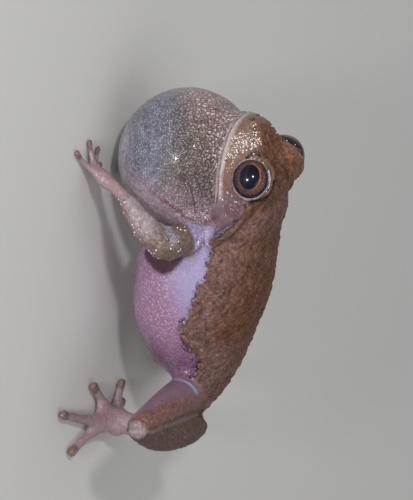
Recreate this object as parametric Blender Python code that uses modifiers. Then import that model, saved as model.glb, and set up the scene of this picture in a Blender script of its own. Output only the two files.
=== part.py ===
"""A calling male pine woods tree frog at life size, crouched with its throat blown up into a ball.

The frog faces -X and its left side is towards -Y. It stands on the plane z = 0 with its hands and
feet. Sizes below are in millimetres, and place() turns them into metres. The body is shaped whole,
from lofted sections, tapered tubes and balls that are fused, and is then parted by thin cuts into
head, throat sac, torso and limb segments.
"""

import math

import bmesh
import bpy
from mathutils import Matrix, Vector
from mathutils.bvhtree import BVHTree

MILLIMETRE = 0.001

# Driving dimensions, in millimetres
GAP = 0.3                    # clearance between neighbouring pieces
VOXEL = 0.26                 # grain at which the forms are fused
EYE_RADIUS = 2.05
EYE_OPENING = 1.95           # radius of the round opening between the lids
LID_THICKNESS = 0.35
SAC_CENTRE = (-11.6, 0.0, 7.85)
SAC_RADII = (7.45, 7.4, 7.35)
EAR_RADIUS = 0.85
EAR_THICKNESS = 0.5
EAR_SINK = 0.35              # how deep the eardrum's pocket goes below the skin
MOUTH_GROOVE = 0.2
FINGER_RADIUS = 0.34
TOE_RADIUS = 0.43
FINGER_PAD = (0.58, 0.52, 0.44)
TOE_PAD = (0.7, 0.64, 0.5)
PAD_SINK = 0.12              # how far a pad reaches below the plane before it is cut flat
WEB_THICKNESS = 0.6
TRIANGLES = 9000             # budget for the fused body, before it is parted
SCRAP_FACES = 20             # a loose shell with fewer faces is a scrap of a cut
CENTRING = (-0.09, 0.33, 0.0)  # brings the middle of the whole frog over the origin

# Points on the left of the head, in millimetres: forward is -x, left is -y, up is z
EYE = (-12.0, -3.5, 16.8)
EYE_AXIS = (-0.36, -0.86, 0.36)
EAR = (-9.2, -5.6, 15.5)
EAR_AXIS = (-0.05, -0.97, 0.24)
NOSTRIL = (-17.4, -0.75, 15.5)
NOSTRIL_AXIS = (-0.5, -0.8, 0.3)

# Arm joints: x, y, z and limb radius at the shoulder, elbow, mid forearm, wrist and knuckles
ARMS = {
    "left": (
        (-6.3, -5.6, 11.6, 1.6),
        (-5.5, -9.2, 10.0, 1.75),
        (-7.4, -9.2, 7.3, 1.2),
        (-9.7, -8.6, 5.0, 0.75),
        (-10.9, -7.9, 2.5, 0.8),
    ),
    "right": (
        (-6.3, 5.6, 11.6, 1.6),
        (-4.9, 9.4, 9.7, 1.6),
        (-6.3, 9.5, 6.9, 1.2),
        (-8.4, 8.9, 4.6, 0.75),
        (-9.8, 8.2, 2.2, 0.8),
    ),
}
# Leg joints: the same at the hip, mid thigh, knee, calf, shin, heel, mid tarsus and ankle
LEGS = {
    "left": (
        (12.6, -2.6, 10.2, 2.1),
        (12.15, -9.0, 10.3, 1.9),
        (12.0, -15.9, 10.4, 1.5),
        (14.5, -12.4, 10.5, 1.6),
        (15.9, -7.4, 10.8, 1.75),
        (17.2, -2.9, 10.6, 1.05),
        (17.75, -4.0, 6.0, 0.95),
        (17.8, -4.7, 2.6, 1.15),
    ),
    "right": (
        (12.6, 2.6, 9.8, 2.1),
        (10.4, 8.6, 6.9, 1.9),
        (8.6, 14.4, 4.0, 1.35),
        (11.7, 10.9, 4.9, 1.6),
        (14.2, 7.0, 5.7, 1.75),
        (16.9, 3.0, 6.4, 1.1),
        (17.3, 6.6, 3.9, 0.95),
        (17.0, 9.9, 2.2, 1.1),
    ),
}

# Digits from the inner one outwards: bearing off straight ahead in degrees, outwards positive,
# the bend over its length, and the length in millimetres
HAND_DIGITS = {
    "left": ((-78, 10, 2.6), (-42, -8, 3.2), (-6, 8, 3.7), (34, 6, 4.1)),
    "right": ((-72, 10, 2.6), (-35, -8, 3.3), (10, 8, 4.0), (58, 10, 3.2)),
}
FOOT_DIGITS = {
    "left": ((-78, 0, 3.3), (-50, 8, 4.4), (30, 12, 5.8), (65, -10, 10.6), (94, 24, 7.9)),
    "right": ((-60, 0, 3.3), (-28, 8, 4.6), (8, 12, 7.0), (38, -10, 10.0), (74, 20, 6.2)),
}
KNUCKLE_HEIGHT = 2.2
INSTEP_HEIGHT = 1.8
# Webs: a pair of neighbouring toes, and how far along each of them the web reaches, from 0 to 1
WEBS = ((1, 2, 0.4), (2, 3, 0.5), (3, 4, 0.52))

# Torso sections: x, height of the middle, half height, half width
TORSO = (
    (-9.0, 13.2, 4.4, 5.2),
    (-7.0, 12.4, 5.8, 6.0),
    (-5.0, 11.5, 6.2, 6.8),
    (-2.0, 10.3, 7.0, 7.6),
    (1.0, 9.8, 7.0, 7.9),
    (3.5, 9.4, 6.9, 7.7),
    (6.0, 9.0, 6.4, 7.0),
    (8.0, 8.9, 5.8, 6.2),
    (10.0, 9.1, 4.85, 5.2),
    (11.5, 9.5, 3.8, 4.3),
    (13.0, 9.75, 2.75, 3.3),
    (14.5, 9.75, 1.9, 2.1),
    (15.4, 9.75, 1.2, 1.3),
    (16.3, 9.6, 0.75, 0.85),
)

# Head sections: x, half width and height of the lip, of the brow ridge, and height of the crown
HEAD = (
    (-17.6, 0.75, 14.8, 0.5, 15.55, 15.7),
    (-17.3, 1.65, 14.5, 1.05, 16.05, 16.2),
    (-16.6, 2.65, 14.25, 1.55, 16.55, 16.75),
    (-15.3, 3.75, 14.1, 2.05, 17.1, 17.3),
    (-13.5, 4.65, 14.0, 2.6, 17.6, 17.7),
    (-11.5, 5.2, 14.0, 3.0, 17.85, 17.9),
    (-9.5, 5.5, 14.0, 3.8, 17.6, 18.1),
    (-7.5, 5.7, 13.9, 4.4, 17.2, 18.1),
    (-5.5, 5.9, 13.5, 4.7, 16.8, 17.7),
)
CHIN_HEIGHT = 12.4

# The line of the mouth, from the middle of the snout to the left corner of the jaw
MOUTH_LINE = (
    (-17.6, 0.0, 14.25),
    (-17.25, -1.6, 14.1),
    (-16.0, -3.2, 13.9),
    (-14.2, -4.35, 13.85),
    (-12.7, -4.8, 13.85),
    (-11.1, -5.1, 13.9),
    (-9.8, -5.3, 13.95),
)

# The fold of skin that runs from behind the eye, over the ear and down to the shoulder
EAR_FOLD = (
    (-10.2, -4.5, 17.3),
    (-8.9, -5.2, 17.0),
    (-7.7, -5.9, 16.2),
    (-6.8, -6.5, 15.1),
    (-5.7, -7.0, 13.8),
)

SKIN_BROWN = (0.26, 0.155, 0.09)
SKIN_PALE = (0.33, 0.22, 0.16)
SKIN_LILAC = (0.36, 0.22, 0.33)
SAC_GREY = (0.25, 0.23, 0.28)
EAR_BROWN = (0.2, 0.11, 0.09)
EYE_COPPER = (0.12, 0.045, 0.02)


def place(point):
    """Turn a point in millimetres into a vector in metres, over the origin."""
    return (Vector(point) + Vector(CENTRING)) * MILLIMETRE


def mirrored(point):
    """The same point on the frog's right side."""
    return (point[0], -point[1], point[2])


def clear_scene():
    for item in list(bpy.data.objects):
        bpy.data.objects.remove(item)


def new_collection(name):
    collection = bpy.data.collections.new(name)
    bpy.context.scene.collection.children.link(collection)
    return collection


def new_object(name, mesh, collection):
    item = bpy.data.objects.new(name, mesh)
    collection.objects.link(item)
    return item


def mesh_from(name, bm):
    """Write a closed bmesh into a new mesh with its faces pointing out."""
    if bm.calc_volume(signed=True) < 0:
        bmesh.ops.reverse_faces(bm, faces=bm.faces)
    mesh = bpy.data.meshes.new(name)
    bm.to_mesh(mesh)
    bm.free()
    return mesh


def material(name, colour, roughness):
    skin = bpy.data.materials.new(name)
    skin.use_nodes = True
    shader = skin.node_tree.nodes["Principled BSDF"]
    shader.inputs["Base Color"].default_value = (*colour, 1.0)
    shader.inputs["Roughness"].default_value = roughness
    shader.inputs["Metallic"].default_value = 0.0
    return skin


def curve_value(values, t):
    """A smooth Catmull-Rom value at t, where each whole number is one of the given values."""
    last = len(values) - 1
    index = min(int(t), last - 1)
    f = t - index
    p0 = values[max(index - 1, 0)]
    p1 = values[index]
    p2 = values[index + 1]
    p3 = values[min(index + 2, last)]
    a = 2 * p1
    b = p2 - p0
    c = 2 * p0 - 5 * p1 + 4 * p2 - p3
    d = 3 * p1 - p0 - 3 * p2 + p3
    return 0.5 * (a + b * f + c * f * f + d * f * f * f)


def smooth_rows(rows, steps):
    """Put steps - 1 smooth rows between each pair of the given rows of numbers."""
    columns = list(zip(*rows))
    count = (len(rows) - 1) * steps
    return [[curve_value(column, i / steps) for column in columns] for i in range(count + 1)]


def loft(name, rings, collection):
    """A closed body through rings of equally many points."""
    bm = bmesh.new()
    loops = [[bm.verts.new(point) for point in ring] for ring in rings]
    for first, second in zip(loops, loops[1:]):
        for i in range(len(first)):
            j = (i + 1) % len(first)
            bm.faces.new((first[i], first[j], second[j], second[i]))
    bm.faces.new(loops[0])
    bm.faces.new(loops[-1])
    return new_object(name, mesh_from(name, bm), collection)


def torso_ring(x, middle, half_height, half_width, count=32):
    """A section a little squarer than an ellipse, as an air-filled body has."""
    ring = []
    for i in range(count):
        angle = 2 * math.pi * i / count
        side = math.copysign(abs(math.sin(angle)) ** 0.94, math.sin(angle))
        rise = math.copysign(abs(math.cos(angle)) ** 0.94, math.cos(angle))
        ring.append(place((x, half_width * side, middle + half_height * rise)))
    return ring


def head_ring(x, lip_y, lip_z, brow_y, brow_z, crown_z):
    """A section with a full jaw, a hollow in front of the eye and a flat crown."""
    chin = CHIN_HEIGHT
    half = (
        (0.0, chin),
        (lip_y * 0.55, chin + 0.1),
        (lip_y * 0.93, (chin + lip_z) / 2),
        (lip_y, lip_z),
        (lip_y * 0.62 + brow_y * 0.38 - 0.08, lip_z * 0.55 + brow_z * 0.45),
        (brow_y, brow_z),
        (brow_y * 0.5, crown_z - 0.03),
        (0.0, crown_z),
    )
    fine = smooth_rows(half, 3)
    left = [place((x, -y, z)) for y, z in fine]
    right = [place((x, y, z)) for y, z in fine[-2:0:-1]]
    return left + right


def aim(axis):
    """The turn that brings the z axis into a direction."""
    return Vector(axis).to_track_quat("Z", "Y").to_matrix().to_4x4()


def ball(name, centre, radii, collection, turn=Matrix.Identity(4), segments=24):
    """An ellipsoid, turned about its centre."""
    bm = bmesh.new()
    bmesh.ops.create_uvsphere(bm, u_segments=segments, v_segments=segments // 2, radius=1.0)
    size = Matrix.Diagonal((*(Vector(radii) * MILLIMETRE), 1.0))
    bm.transform(Matrix.Translation(place(centre)) @ turn @ size)
    return new_object(name, mesh_from(name, bm), collection)


def tube(name, path, radii, collection, steps=5):
    """A tapered round limb along a smooth path, as a closed mesh."""
    curve = bpy.data.curves.new(name, "CURVE")
    curve.dimensions = "3D"
    curve.bevel_depth = MILLIMETRE
    curve.bevel_resolution = 3
    curve.use_fill_caps = True
    rows = smooth_rows([(*point, radius) for point, radius in zip(path, radii)], steps)
    spline = curve.splines.new("POLY")
    spline.points.add(len(rows) - 1)
    for point, (x, y, z, radius) in zip(spline.points, rows):
        point.co = (*place((x, y, z)), 1.0)
        point.radius = radius
    source = new_object(name, curve, collection)
    bpy.context.view_layer.update()
    evaluated = source.evaluated_get(bpy.context.evaluated_depsgraph_get())
    bm = bmesh.new()
    bm.from_mesh(bpy.data.meshes.new_from_object(evaluated))
    bmesh.ops.remove_doubles(bm, verts=bm.verts, dist=0.001 * MILLIMETRE)
    bpy.data.objects.remove(source)
    return new_object(name, mesh_from(name, bm), collection)


def slab(name, centre, axis, half_sizes, collection, roll=(1, 0, 0)):
    """A thin box, GAP thick along the axis, that parts two pieces."""
    normal = Vector(axis).normalized()
    along = Vector(roll)
    along = (along - along.dot(normal) * normal).normalized()
    across = normal.cross(along)
    turn = Matrix((along, across, normal)).transposed().to_4x4()
    sizes = Vector((2 * half_sizes[0], 2 * half_sizes[1], GAP)) * MILLIMETRE
    bm = bmesh.new()
    bmesh.ops.create_cube(bm, size=1.0)
    bm.transform(Matrix.Translation(place(centre)) @ turn @ Matrix.Diagonal((*sizes, 1.0)))
    return as_cutter(new_object(name, mesh_from(name, bm), collection))


def cylinder(name, centre, axis, radius, depth, collection, tip_radius=None):
    """A closed cylinder or cone centred on a point, with its far end along the axis."""
    bm = bmesh.new()
    end = radius if tip_radius is None else tip_radius
    bmesh.ops.create_cone(bm, cap_ends=True, segments=28, radius1=radius, radius2=end, depth=depth)
    bm.transform(Matrix.Translation(place(centre)) @ aim(axis) @ Matrix.Scale(MILLIMETRE, 4))
    return new_object(name, mesh_from(name, bm), collection)


def as_cutter(item):
    item.hide_render = True
    item.display_type = "WIRE"
    return item


def web(name, first, second, reach, collection):
    """The thin skin between two toes, from their roots to a hollow free edge."""
    steps = 8
    edge = []
    for path in (first, second):
        fine = smooth_rows(path, steps)
        count = int(reach * (len(fine) - 1))
        edge.append([Vector(point) for point in fine[: count + 1]])
    count = min(len(edge[0]), len(edge[1]))
    rows = []
    for points in edge:
        rows.append([points[round(i * (len(points) - 1) / (count - 1))] for i in range(count)])
    hollow = 0.5 * (rows[0][-3] + rows[1][-3])
    bm = bmesh.new()
    layers = []
    for rise in (-0.5, 0.5):
        lift = Vector((0, 0, rise * WEB_THICKNESS))
        outline = rows[0] + [hollow] + rows[1][::-1]
        layers.append([bm.verts.new(place(point + lift)) for point in outline])
    size = len(layers[0])
    for i in range(size):
        j = (i + 1) % size
        bm.faces.new((layers[0][i], layers[0][j], layers[1][j], layers[1][i]))
    for layer in layers:
        bm.faces.new(layer)
    bmesh.ops.triangulate(bm, faces=bm.faces)
    return new_object(name, mesh_from(name, bm), collection)


def join(name, pieces, collection):
    """Put all pieces into one object, still as overlapping shells."""
    bm = bmesh.new()
    for piece in pieces:
        bm.from_mesh(piece.data)
        bpy.data.objects.remove(piece)
    mesh = bpy.data.meshes.new(name)
    bm.to_mesh(mesh)
    bm.free()
    return new_object(name, mesh, collection)


def apply_modifiers(item):
    """Replace an object's mesh by what its modifiers make of it."""
    bpy.context.view_layer.update()
    evaluated = item.evaluated_get(bpy.context.evaluated_depsgraph_get())
    mesh = bpy.data.meshes.new_from_object(evaluated)
    item.modifiers.clear()
    item.data = mesh


def fuse(item, smoothing):
    """Melt overlapping shells into one skin and soften the joins."""
    remesh = item.modifiers.new("fuse", "REMESH")
    remesh.mode = "VOXEL"
    remesh.voxel_size = VOXEL * MILLIMETRE
    soften = item.modifiers.new("soften", "SMOOTH")
    soften.factor = 0.5
    soften.iterations = smoothing
    apply_modifiers(item)


def keep_largest(item):
    """Drop every loose shell but the one with the most faces."""
    bm = bmesh.new()
    bm.from_mesh(item.data)
    shells = loose_shells(bm)
    largest = max(shells, key=len)
    spare = [face for shell in shells if shell is not largest for face in shell]
    bmesh.ops.delete(bm, geom=spare, context="FACES")
    bm.to_mesh(item.data)
    bm.free()


def loose_shells(bm):
    """The mesh's faces in groups that share edges."""
    bm.faces.ensure_lookup_table()
    seen = set()
    shells = []
    for start in bm.faces:
        if start.index in seen:
            continue
        seen.add(start.index)
        shell = [start]
        for face in shell:
            for edge in face.edges:
                for other in edge.link_faces:
                    if other.index not in seen:
                        seen.add(other.index)
                        shell.append(other)
        shells.append(shell)
    return shells


def cut_away(item, cutters):
    """Subtract cutters one by one. The exact solver loses shells here, so this is the manifold one."""
    for cutter in cutters:
        boolean = item.modifiers.new(cutter.name, "BOOLEAN")
        boolean.operation = "DIFFERENCE"
        boolean.solver = "MANIFOLD"
        boolean.object = cutter
    apply_modifiers(item)


def reduce_triangles(item, budget):
    """Simplify the skin evenly by shape down to the budget."""
    item.data.calc_loop_triangles()
    thin = item.modifiers.new("thin", "DECIMATE")
    thin.ratio = min(1.0, budget / len(item.data.loop_triangles))
    apply_modifiers(item)


def both_sides():
    """Yield each side's name and the function that carries a left point to it."""
    yield "left", lambda point: point
    yield "right", mirrored


def between(first, second, share):
    """The point at a share of the way from the first point to the second."""
    return tuple(a + (b - a) * share for a, b in zip(first, second))


def trunk_pieces(collection):
    pieces = [
        loft("torso_form", [torso_ring(*row) for row in smooth_rows(TORSO, 3)], collection),
        loft("head_form", [head_ring(*row) for row in smooth_rows(HEAD, 3)], collection),
        ball("sac_form", SAC_CENTRE, SAC_RADII, collection, segments=40),
    ]
    return pieces


def segment_tube(name, joints, collection):
    """A limb segment through joints that each give x, y, z and a radius."""
    return tube(name, [joint[:3] for joint in joints], [joint[3] for joint in joints], collection)


def limb_pieces(side, collection):
    """The thick limb segments of one side, overlapping at the joints, with a round elbow and knee."""
    arm = ARMS[side]
    leg = LEGS[side]
    pieces = [
        segment_tube(f"upper_arm_form_{side}", arm[:2], collection),
        segment_tube(f"forearm_form_{side}", arm[1:], collection),
        segment_tube(f"thigh_form_{side}", leg[:3], collection),
        segment_tube(f"shank_form_{side}", leg[2:6], collection),
        segment_tube(f"tarsus_form_{side}", leg[5:], collection),
    ]
    for name, joint in (("elbow", arm[1]), ("knee", leg[2]), ("heel", leg[5])):
        radii = (joint[3],) * 3
        pieces.append(ball(f"{name}_form_{side}", joint[:3], radii, collection, segments=16))
    return pieces


def digit_path(side, root, height, pad_height, bearing, bend, length, steps=4):
    """Points from a root down to the plane, along a gently bent course."""
    outward = -1 if side == "left" else 1
    point = Vector((root[0], root[1], height))
    low = pad_height - PAD_SINK
    path = [tuple(point)]
    for i in range(steps):
        angle = math.radians(bearing + bend * ((i + 0.5) / steps - 0.5))
        point = point + Vector((-math.cos(angle), outward * math.sin(angle), 0)) * (length / steps)
        share = (i + 1) / steps
        point.z = low + (height - low) * (1 - share) ** 2
        path.append(tuple(point))
    return path


def digit(name, path, radius, pad_radii, collection):
    """A finger or toe with its round flat pad."""
    radii = [radius * 1.7, radius * 1.3] + [radius] * (len(path) - 2)
    stem = tube(f"{name}_form", path, radii, collection)
    heading = Vector(path[-1]) - Vector(path[-2])
    turn = Matrix.Rotation(math.atan2(heading.y, heading.x), 4, "Z")
    pad = ball(f"{name}_pad_form", path[-1], pad_radii, collection, turn=turn, segments=16)
    return [stem, pad]


def hand_and_foot_pieces(side, collection):
    """Fingers, toes, their pads, the palm, the sole and the webs, of one side."""
    knuckles = ARMS[side][-1]
    instep = LEGS[side][-1]
    pieces = []
    for number, (bearing, bend, length) in enumerate(HAND_DIGITS[side], start=1):
        path = digit_path(side, knuckles, KNUCKLE_HEIGHT, FINGER_PAD[2], bearing, bend, length)
        pieces += digit(f"finger_{number}_{side}", path, FINGER_RADIUS, FINGER_PAD, collection)
    toes = []
    for number, (bearing, bend, length) in enumerate(FOOT_DIGITS[side], start=1):
        toes.append(digit_path(side, instep, INSTEP_HEIGHT, TOE_PAD[2], bearing, bend, length))
        pieces += digit(f"toe_{number}_{side}", toes[-1], TOE_RADIUS, TOE_PAD, collection)
    palm = (knuckles[0] - 0.2, knuckles[1], KNUCKLE_HEIGHT)
    sole = (instep[0], instep[1], INSTEP_HEIGHT)
    pieces.append(ball(f"palm_form_{side}", palm, (0.95, 1.15, 0.7), collection, segments=16))
    pieces.append(ball(f"sole_form_{side}", sole, (1.5, 1.5, 0.95), collection, segments=16))
    for first, second, reach in WEBS:
        pieces.append(web(f"web_form_{first}_{side}", toes[first], toes[second], reach, collection))
    return pieces


def head_detail_pieces(side, at, collection):
    """The lid dome round the eye and the fold over the ear."""
    lid = EYE_RADIUS + GAP + LID_THICKNESS
    pieces = [ball(f"lid_form_{side}", at(EYE), (lid, lid, lid), collection)]
    fold = [at(point) for point in EAR_FOLD]
    pieces.append(tube(f"ear_fold_form_{side}", fold, (0.5, 0.55, 0.6, 0.6, 0.55), collection))
    return pieces


def surface_of(item):
    """A search tree over an object's mesh."""
    bm = bmesh.new()
    bm.from_mesh(item.data)
    tree = BVHTree.FromBMesh(bm)
    bm.free()
    return tree


def settle(surface, point):
    """The nearest point of the skin, in millimetres."""
    location = surface.find_nearest(place(point))[0]
    return tuple(location / MILLIMETRE - Vector(CENTRING))


def detail_cutters(side, at, surface, collection):
    """What is cut into the head: eye socket, lid opening, ear pocket and nostril."""
    eye = at(EYE)
    axis = Vector(at(EYE_AXIS)).normalized()
    socket = EYE_RADIUS + GAP
    ear_axis = Vector(at(EAR_AXIS)).normalized()
    nostril = settle(surface, at(NOSTRIL))
    pocket_depth = 3.0
    opening_depth = 2.6
    opening_centre = Vector(eye) + axis * 2.4
    pocket_centre = Vector(settle(surface, at(EAR))) + ear_axis * (pocket_depth / 2 - EAR_SINK)
    slant = EYE_RADIUS * 0.12
    inner = EYE_OPENING - slant
    outer = EYE_OPENING + slant
    into_nostril = aim(at(NOSTRIL_AXIS))
    cutters = [
        ball(f"socket_cutter_{side}", eye, (socket, socket, socket), collection, segments=22),
        cylinder(f"lid_cutter_{side}", opening_centre, axis, inner, opening_depth, collection, outer),
        cylinder(f"ear_cutter_{side}", pocket_centre, ear_axis, EAR_RADIUS + GAP, pocket_depth, collection),
        ball(f"nostril_cutter_{side}", nostril, (0.2, 0.2, 0.45), collection, into_nostril, 12),
    ]
    return [as_cutter(cutter) for cutter in cutters]


def mouth_cutter(surface, collection):
    """A thin tube along the mouth, half sunk in the skin from corner to corner."""
    line = [mirrored(point) for point in MOUTH_LINE[:0:-1]] + list(MOUTH_LINE)
    path = [settle(surface, point) for point in smooth_rows(line, 3)]
    return as_cutter(tube("mouth_cutter", path, [MOUTH_GROOVE] * len(path), collection, steps=1))


def mitre_cut(name, before, joint, after, half_sizes, collection):
    """A slab across a joint, halfway between the two limb directions, mostly on the inner side."""
    incoming = (Vector(joint[:3]) - Vector(before[:3])).normalized()
    outgoing = (Vector(after[:3]) - Vector(joint[:3])).normalized()
    inside = (outgoing - incoming).normalized()
    centre = Vector(joint[:3]) + inside * (half_sizes[0] - half_sizes[1])
    return slab(name, centre, incoming + outgoing, half_sizes, collection, roll=inside)


def fold_cut(name, hip, knee, heel, collection):
    """A slab between the thigh and the shank, which lie folded against each other."""
    thigh = (Vector(hip[:3]) - Vector(knee[:3])).normalized()
    shank = (Vector(heel[:3]) - Vector(knee[:3])).normalized()
    along = (thigh + shank).normalized()
    half_length = 8.2
    centre = Vector(knee[:3]) + along * (half_length - 2.6)
    return slab(name, centre, shank - thigh, (half_length, 3.4), collection, roll=along)


def parting_cutters(collection):
    """Thin slabs that part the fused body into its segments."""
    cutters = [
        slab("neck_cut", (-7.0, 0.0, 12.5), (1.0, 0.0, 0.26), (9.0, 7.9), collection, roll=(0, 0, 1)),
        slab("chin_cut", (-13.2, 0.0, 13.2), (0.0, 0.0, 1.0), (6.0, 9.0), collection),
    ]
    for side, at in both_sides():
        arm = ARMS[side]
        leg = LEGS[side]
        shoulder = at((-5.3, -7.2, 11.2))
        thigh_centre = between(leg[0][:3], leg[1][:3], 0.36)
        cutters += [
            slab(f"shoulder_cut_{side}", shoulder, at((-0.2, -0.9, 0.3)), (2.4, 2.7), collection),
            mitre_cut(f"elbow_cut_{side}", arm[0], arm[1], arm[2], (2.2, 2.2), collection),
            mitre_cut(f"wrist_cut_{side}", arm[2], arm[3], arm[4], (1.3, 1.3), collection),
            slab(f"hip_cut_{side}", thigh_centre, at((0.35, -0.93, 0.0)), (3.3, 3.5), collection),
            fold_cut(f"fold_cut_{side}", leg[0], leg[2], leg[5], collection),
            mitre_cut(f"heel_cut_{side}", leg[4], leg[5], leg[6], (3.4, 2.1), collection),
            mitre_cut(f"ankle_cut_{side}", leg[6], leg[7], (*leg[7][:2], 0.0), (1.7, 1.7), collection),
        ]
    return cutters


def floor_cutter(collection):
    """Everything below the plane z = 0."""
    bm = bmesh.new()
    bmesh.ops.create_cube(bm, size=1.0)
    bm.transform(Matrix.Translation((0, 0, -0.005)) @ Matrix.Diagonal((0.08, 0.08, 0.01, 1.0)))
    return as_cutter(new_object("floor_cutter", mesh_from("floor_cutter", bm), collection))


def segment_seeds():
    """Each segment's name with a point inside it, and its material."""
    seeds = {
        "head": ((-15.0, 0.0, 16.0), "brown"),
        "vocal_sac": (SAC_CENTRE, "sac"),
        "torso": ((2.0, 0.0, 10.0), "brown"),
    }
    for side in ("left", "right"):
        arm = ARMS[side]
        leg = LEGS[side]
        seeds[f"upper_arm_{side}"] = (between(arm[0], arm[1], 0.72)[:3], "pale")
        seeds[f"forearm_{side}"] = (arm[2][:3], "pale")
        seeds[f"hand_{side}"] = (arm[4][:3], "pale")
        seeds[f"thigh_{side}"] = (leg[1][:3], "lilac")
        seeds[f"shank_{side}"] = (leg[4][:3], "brown")
        seeds[f"tarsus_{side}"] = (leg[6][:3], "pale")
        seeds[f"foot_{side}"] = ((*leg[7][:2], INSTEP_HEIGHT), "pale")
    return seeds


def part_body(body, materials, collection):
    """Make each loose shell of the parted body an object, named by the seed point nearest to it."""
    bm = bmesh.new()
    bm.from_mesh(body.data)
    shells = [shell for shell in loose_shells(bm) if len(shell) >= SCRAP_FACES]
    trees = []
    for shell in shells:
        index = {}
        for face in shell:
            for vert in face.verts:
                index.setdefault(vert, len(index))
        points = [vert.co.copy() for vert in index]
        faces = [[index[vert] for vert in face.verts] for face in shell]
        trees.append((BVHTree.FromPolygons(points, faces), points, faces))
    bm.free()
    taken = set()
    for name, (seed, finish) in segment_seeds().items():
        distances = [tree.find_nearest(place(seed))[3] for tree, points, faces in trees]
        nearest = distances.index(min(distances))
        if nearest in taken:
            raise ValueError(f"{name} is not parted from its neighbour")
        taken.add(nearest)
        points, faces = trees[nearest][1:]
        mesh = bpy.data.meshes.new(name)
        mesh.from_pydata(points, [], faces)
        mesh.materials.append(materials[finish])
        mesh.shade_smooth()
        mesh.set_sharp_from_angle(angle=math.radians(50))
        new_object(name, mesh, collection)
    if len(taken) < len(trees):
        raise ValueError("the cuts leave a loose piece")
    bpy.data.objects.remove(body)


def add_eyes(materials, collection):
    for side, at in both_sides():
        radii = (EYE_RADIUS, EYE_RADIUS, EYE_RADIUS)
        eye = ball(f"eye_{side}", at(EYE), radii, collection, turn=aim(at(EYE_AXIS)), segments=20)
        eye.data.materials.append(materials["eye"])
        eye.data.shade_smooth()


def add_ears(materials, surface, collection):
    """The round eardrum discs, each in its shallow pocket."""
    for side, at in both_sides():
        axis = Vector(at(EAR_AXIS)).normalized()
        centre = Vector(settle(surface, at(EAR))) + axis * (GAP + EAR_THICKNESS / 2 - EAR_SINK)
        disc = cylinder(f"ear_{side}", centre, axis, EAR_RADIUS, EAR_THICKNESS, collection)
        disc.data.materials.append(materials["ear"])


def main():
    clear_scene()
    parts = new_collection("pine_woods_tree_frog")
    forms = new_collection("forms_and_cutters")
    materials = {
        "brown": material("skin_brown", SKIN_BROWN, 0.55),
        "pale": material("skin_pale", SKIN_PALE, 0.5),
        "lilac": material("skin_lilac", SKIN_LILAC, 0.45),
        "sac": material("sac_grey", SAC_GREY, 0.35),
        "ear": material("ear_brown", EAR_BROWN, 0.4),
        "eye": material("eye_copper", EYE_COPPER, 0.08),
    }
    pieces = trunk_pieces(forms)
    for side in ("left", "right"):
        pieces += limb_pieces(side, forms)
    trunk = join("trunk_form", pieces, forms)
    fuse(trunk, smoothing=8)
    pieces = [trunk]
    for side, at in both_sides():
        pieces += hand_and_foot_pieces(side, forms)
        pieces += head_detail_pieces(side, at, forms)
    body = join("body_form", pieces, forms)
    fuse(body, smoothing=2)
    keep_largest(body)
    reduce_triangles(body, TRIANGLES)
    surface = surface_of(body)
    cutters = [floor_cutter(forms), mouth_cutter(surface, forms)]
    for side, at in both_sides():
        cutters += detail_cutters(side, at, surface, forms)
    cutters += parting_cutters(forms)
    cut_away(body, cutters)
    part_body(body, materials, parts)
    add_eyes(materials, parts)
    add_ears(materials, surface, parts)


main()
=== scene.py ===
"""The looks of a calling male pine woods tree frog: one moist skin over the solids, two eyes, a stage.

The frog faces -X and its left side is towards -Y. Places in this file are in millimetres, measured
from the same zero as the sizes in the part's source. MM turns them into metres, and ZERO brings them
into the frame.
"""

import math
import random

import bmesh
import bpy
import numpy as np
from mathutils import Matrix, Vector, noise
from mathutils.bvhtree import BVHTree


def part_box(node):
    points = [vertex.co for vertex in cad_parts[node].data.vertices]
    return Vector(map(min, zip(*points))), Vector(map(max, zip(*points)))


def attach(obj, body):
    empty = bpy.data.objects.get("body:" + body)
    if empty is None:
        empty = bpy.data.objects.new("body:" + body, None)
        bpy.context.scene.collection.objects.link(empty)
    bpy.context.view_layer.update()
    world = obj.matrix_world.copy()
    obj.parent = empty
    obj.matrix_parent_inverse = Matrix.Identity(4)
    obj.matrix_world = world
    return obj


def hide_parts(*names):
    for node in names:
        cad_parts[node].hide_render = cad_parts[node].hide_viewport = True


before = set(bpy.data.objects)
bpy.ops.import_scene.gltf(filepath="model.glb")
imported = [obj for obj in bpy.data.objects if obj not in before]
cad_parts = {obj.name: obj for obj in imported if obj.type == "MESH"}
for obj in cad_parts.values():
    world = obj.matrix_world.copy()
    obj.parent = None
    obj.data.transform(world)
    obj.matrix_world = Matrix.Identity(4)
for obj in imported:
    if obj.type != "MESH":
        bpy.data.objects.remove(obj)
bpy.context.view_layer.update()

bl_info = {
    "name": "Calling tree frog",
    "version": (1, 0, 0),
    "blender": (4, 5, 0),
    "location": "3D View > Sidebar > Tree frog",
    "description": "Dresses the packed tree frog with its skin and eyes, and sets the stage",
    "category": "Object",
}

MM = 0.001
# A distance in millimetres beyond the reach of every line's effect
FAR = 9.0
# Up to this distance in millimetres from a line, only the part along the skin counts
SKIN_REACH = 0.8
# The radius of the rounded warts, as a share of their cells' size
WART_SHARE = 0.62
SIDES = ("left", "right")
LIMBS = ("upper_arm", "forearm", "hand", "thigh", "shank", "tarsus", "foot")
FLESH = ["head", "vocal_sac", "torso"]
FLESH += [f"{part}_{side}" for part in (*LIMBS, "ear") for side in SIDES]

# Points and lines on the left of the head and trunk; the right side mirrors them
EYE = {"left": (-12.0, -3.5, 16.8), "right": (-12.12, 3.62, 16.95)}
EYE_AXIS = {"left": (-0.413, -0.816, 0.398), "right": (-0.6, 0.7, 0.38)}
IRIS_AXIS = {"left": (-0.465, -0.795, 0.385), "right": (-0.6, 0.76, 0.24)}
GAZE = {"left": (-0.49, -0.8, 0.34), "right": (-0.6, 0.74, 0.28)}
# How far the long way of the eyes is turned upwards, in degrees
EYE_ROLL = 9.0
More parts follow.
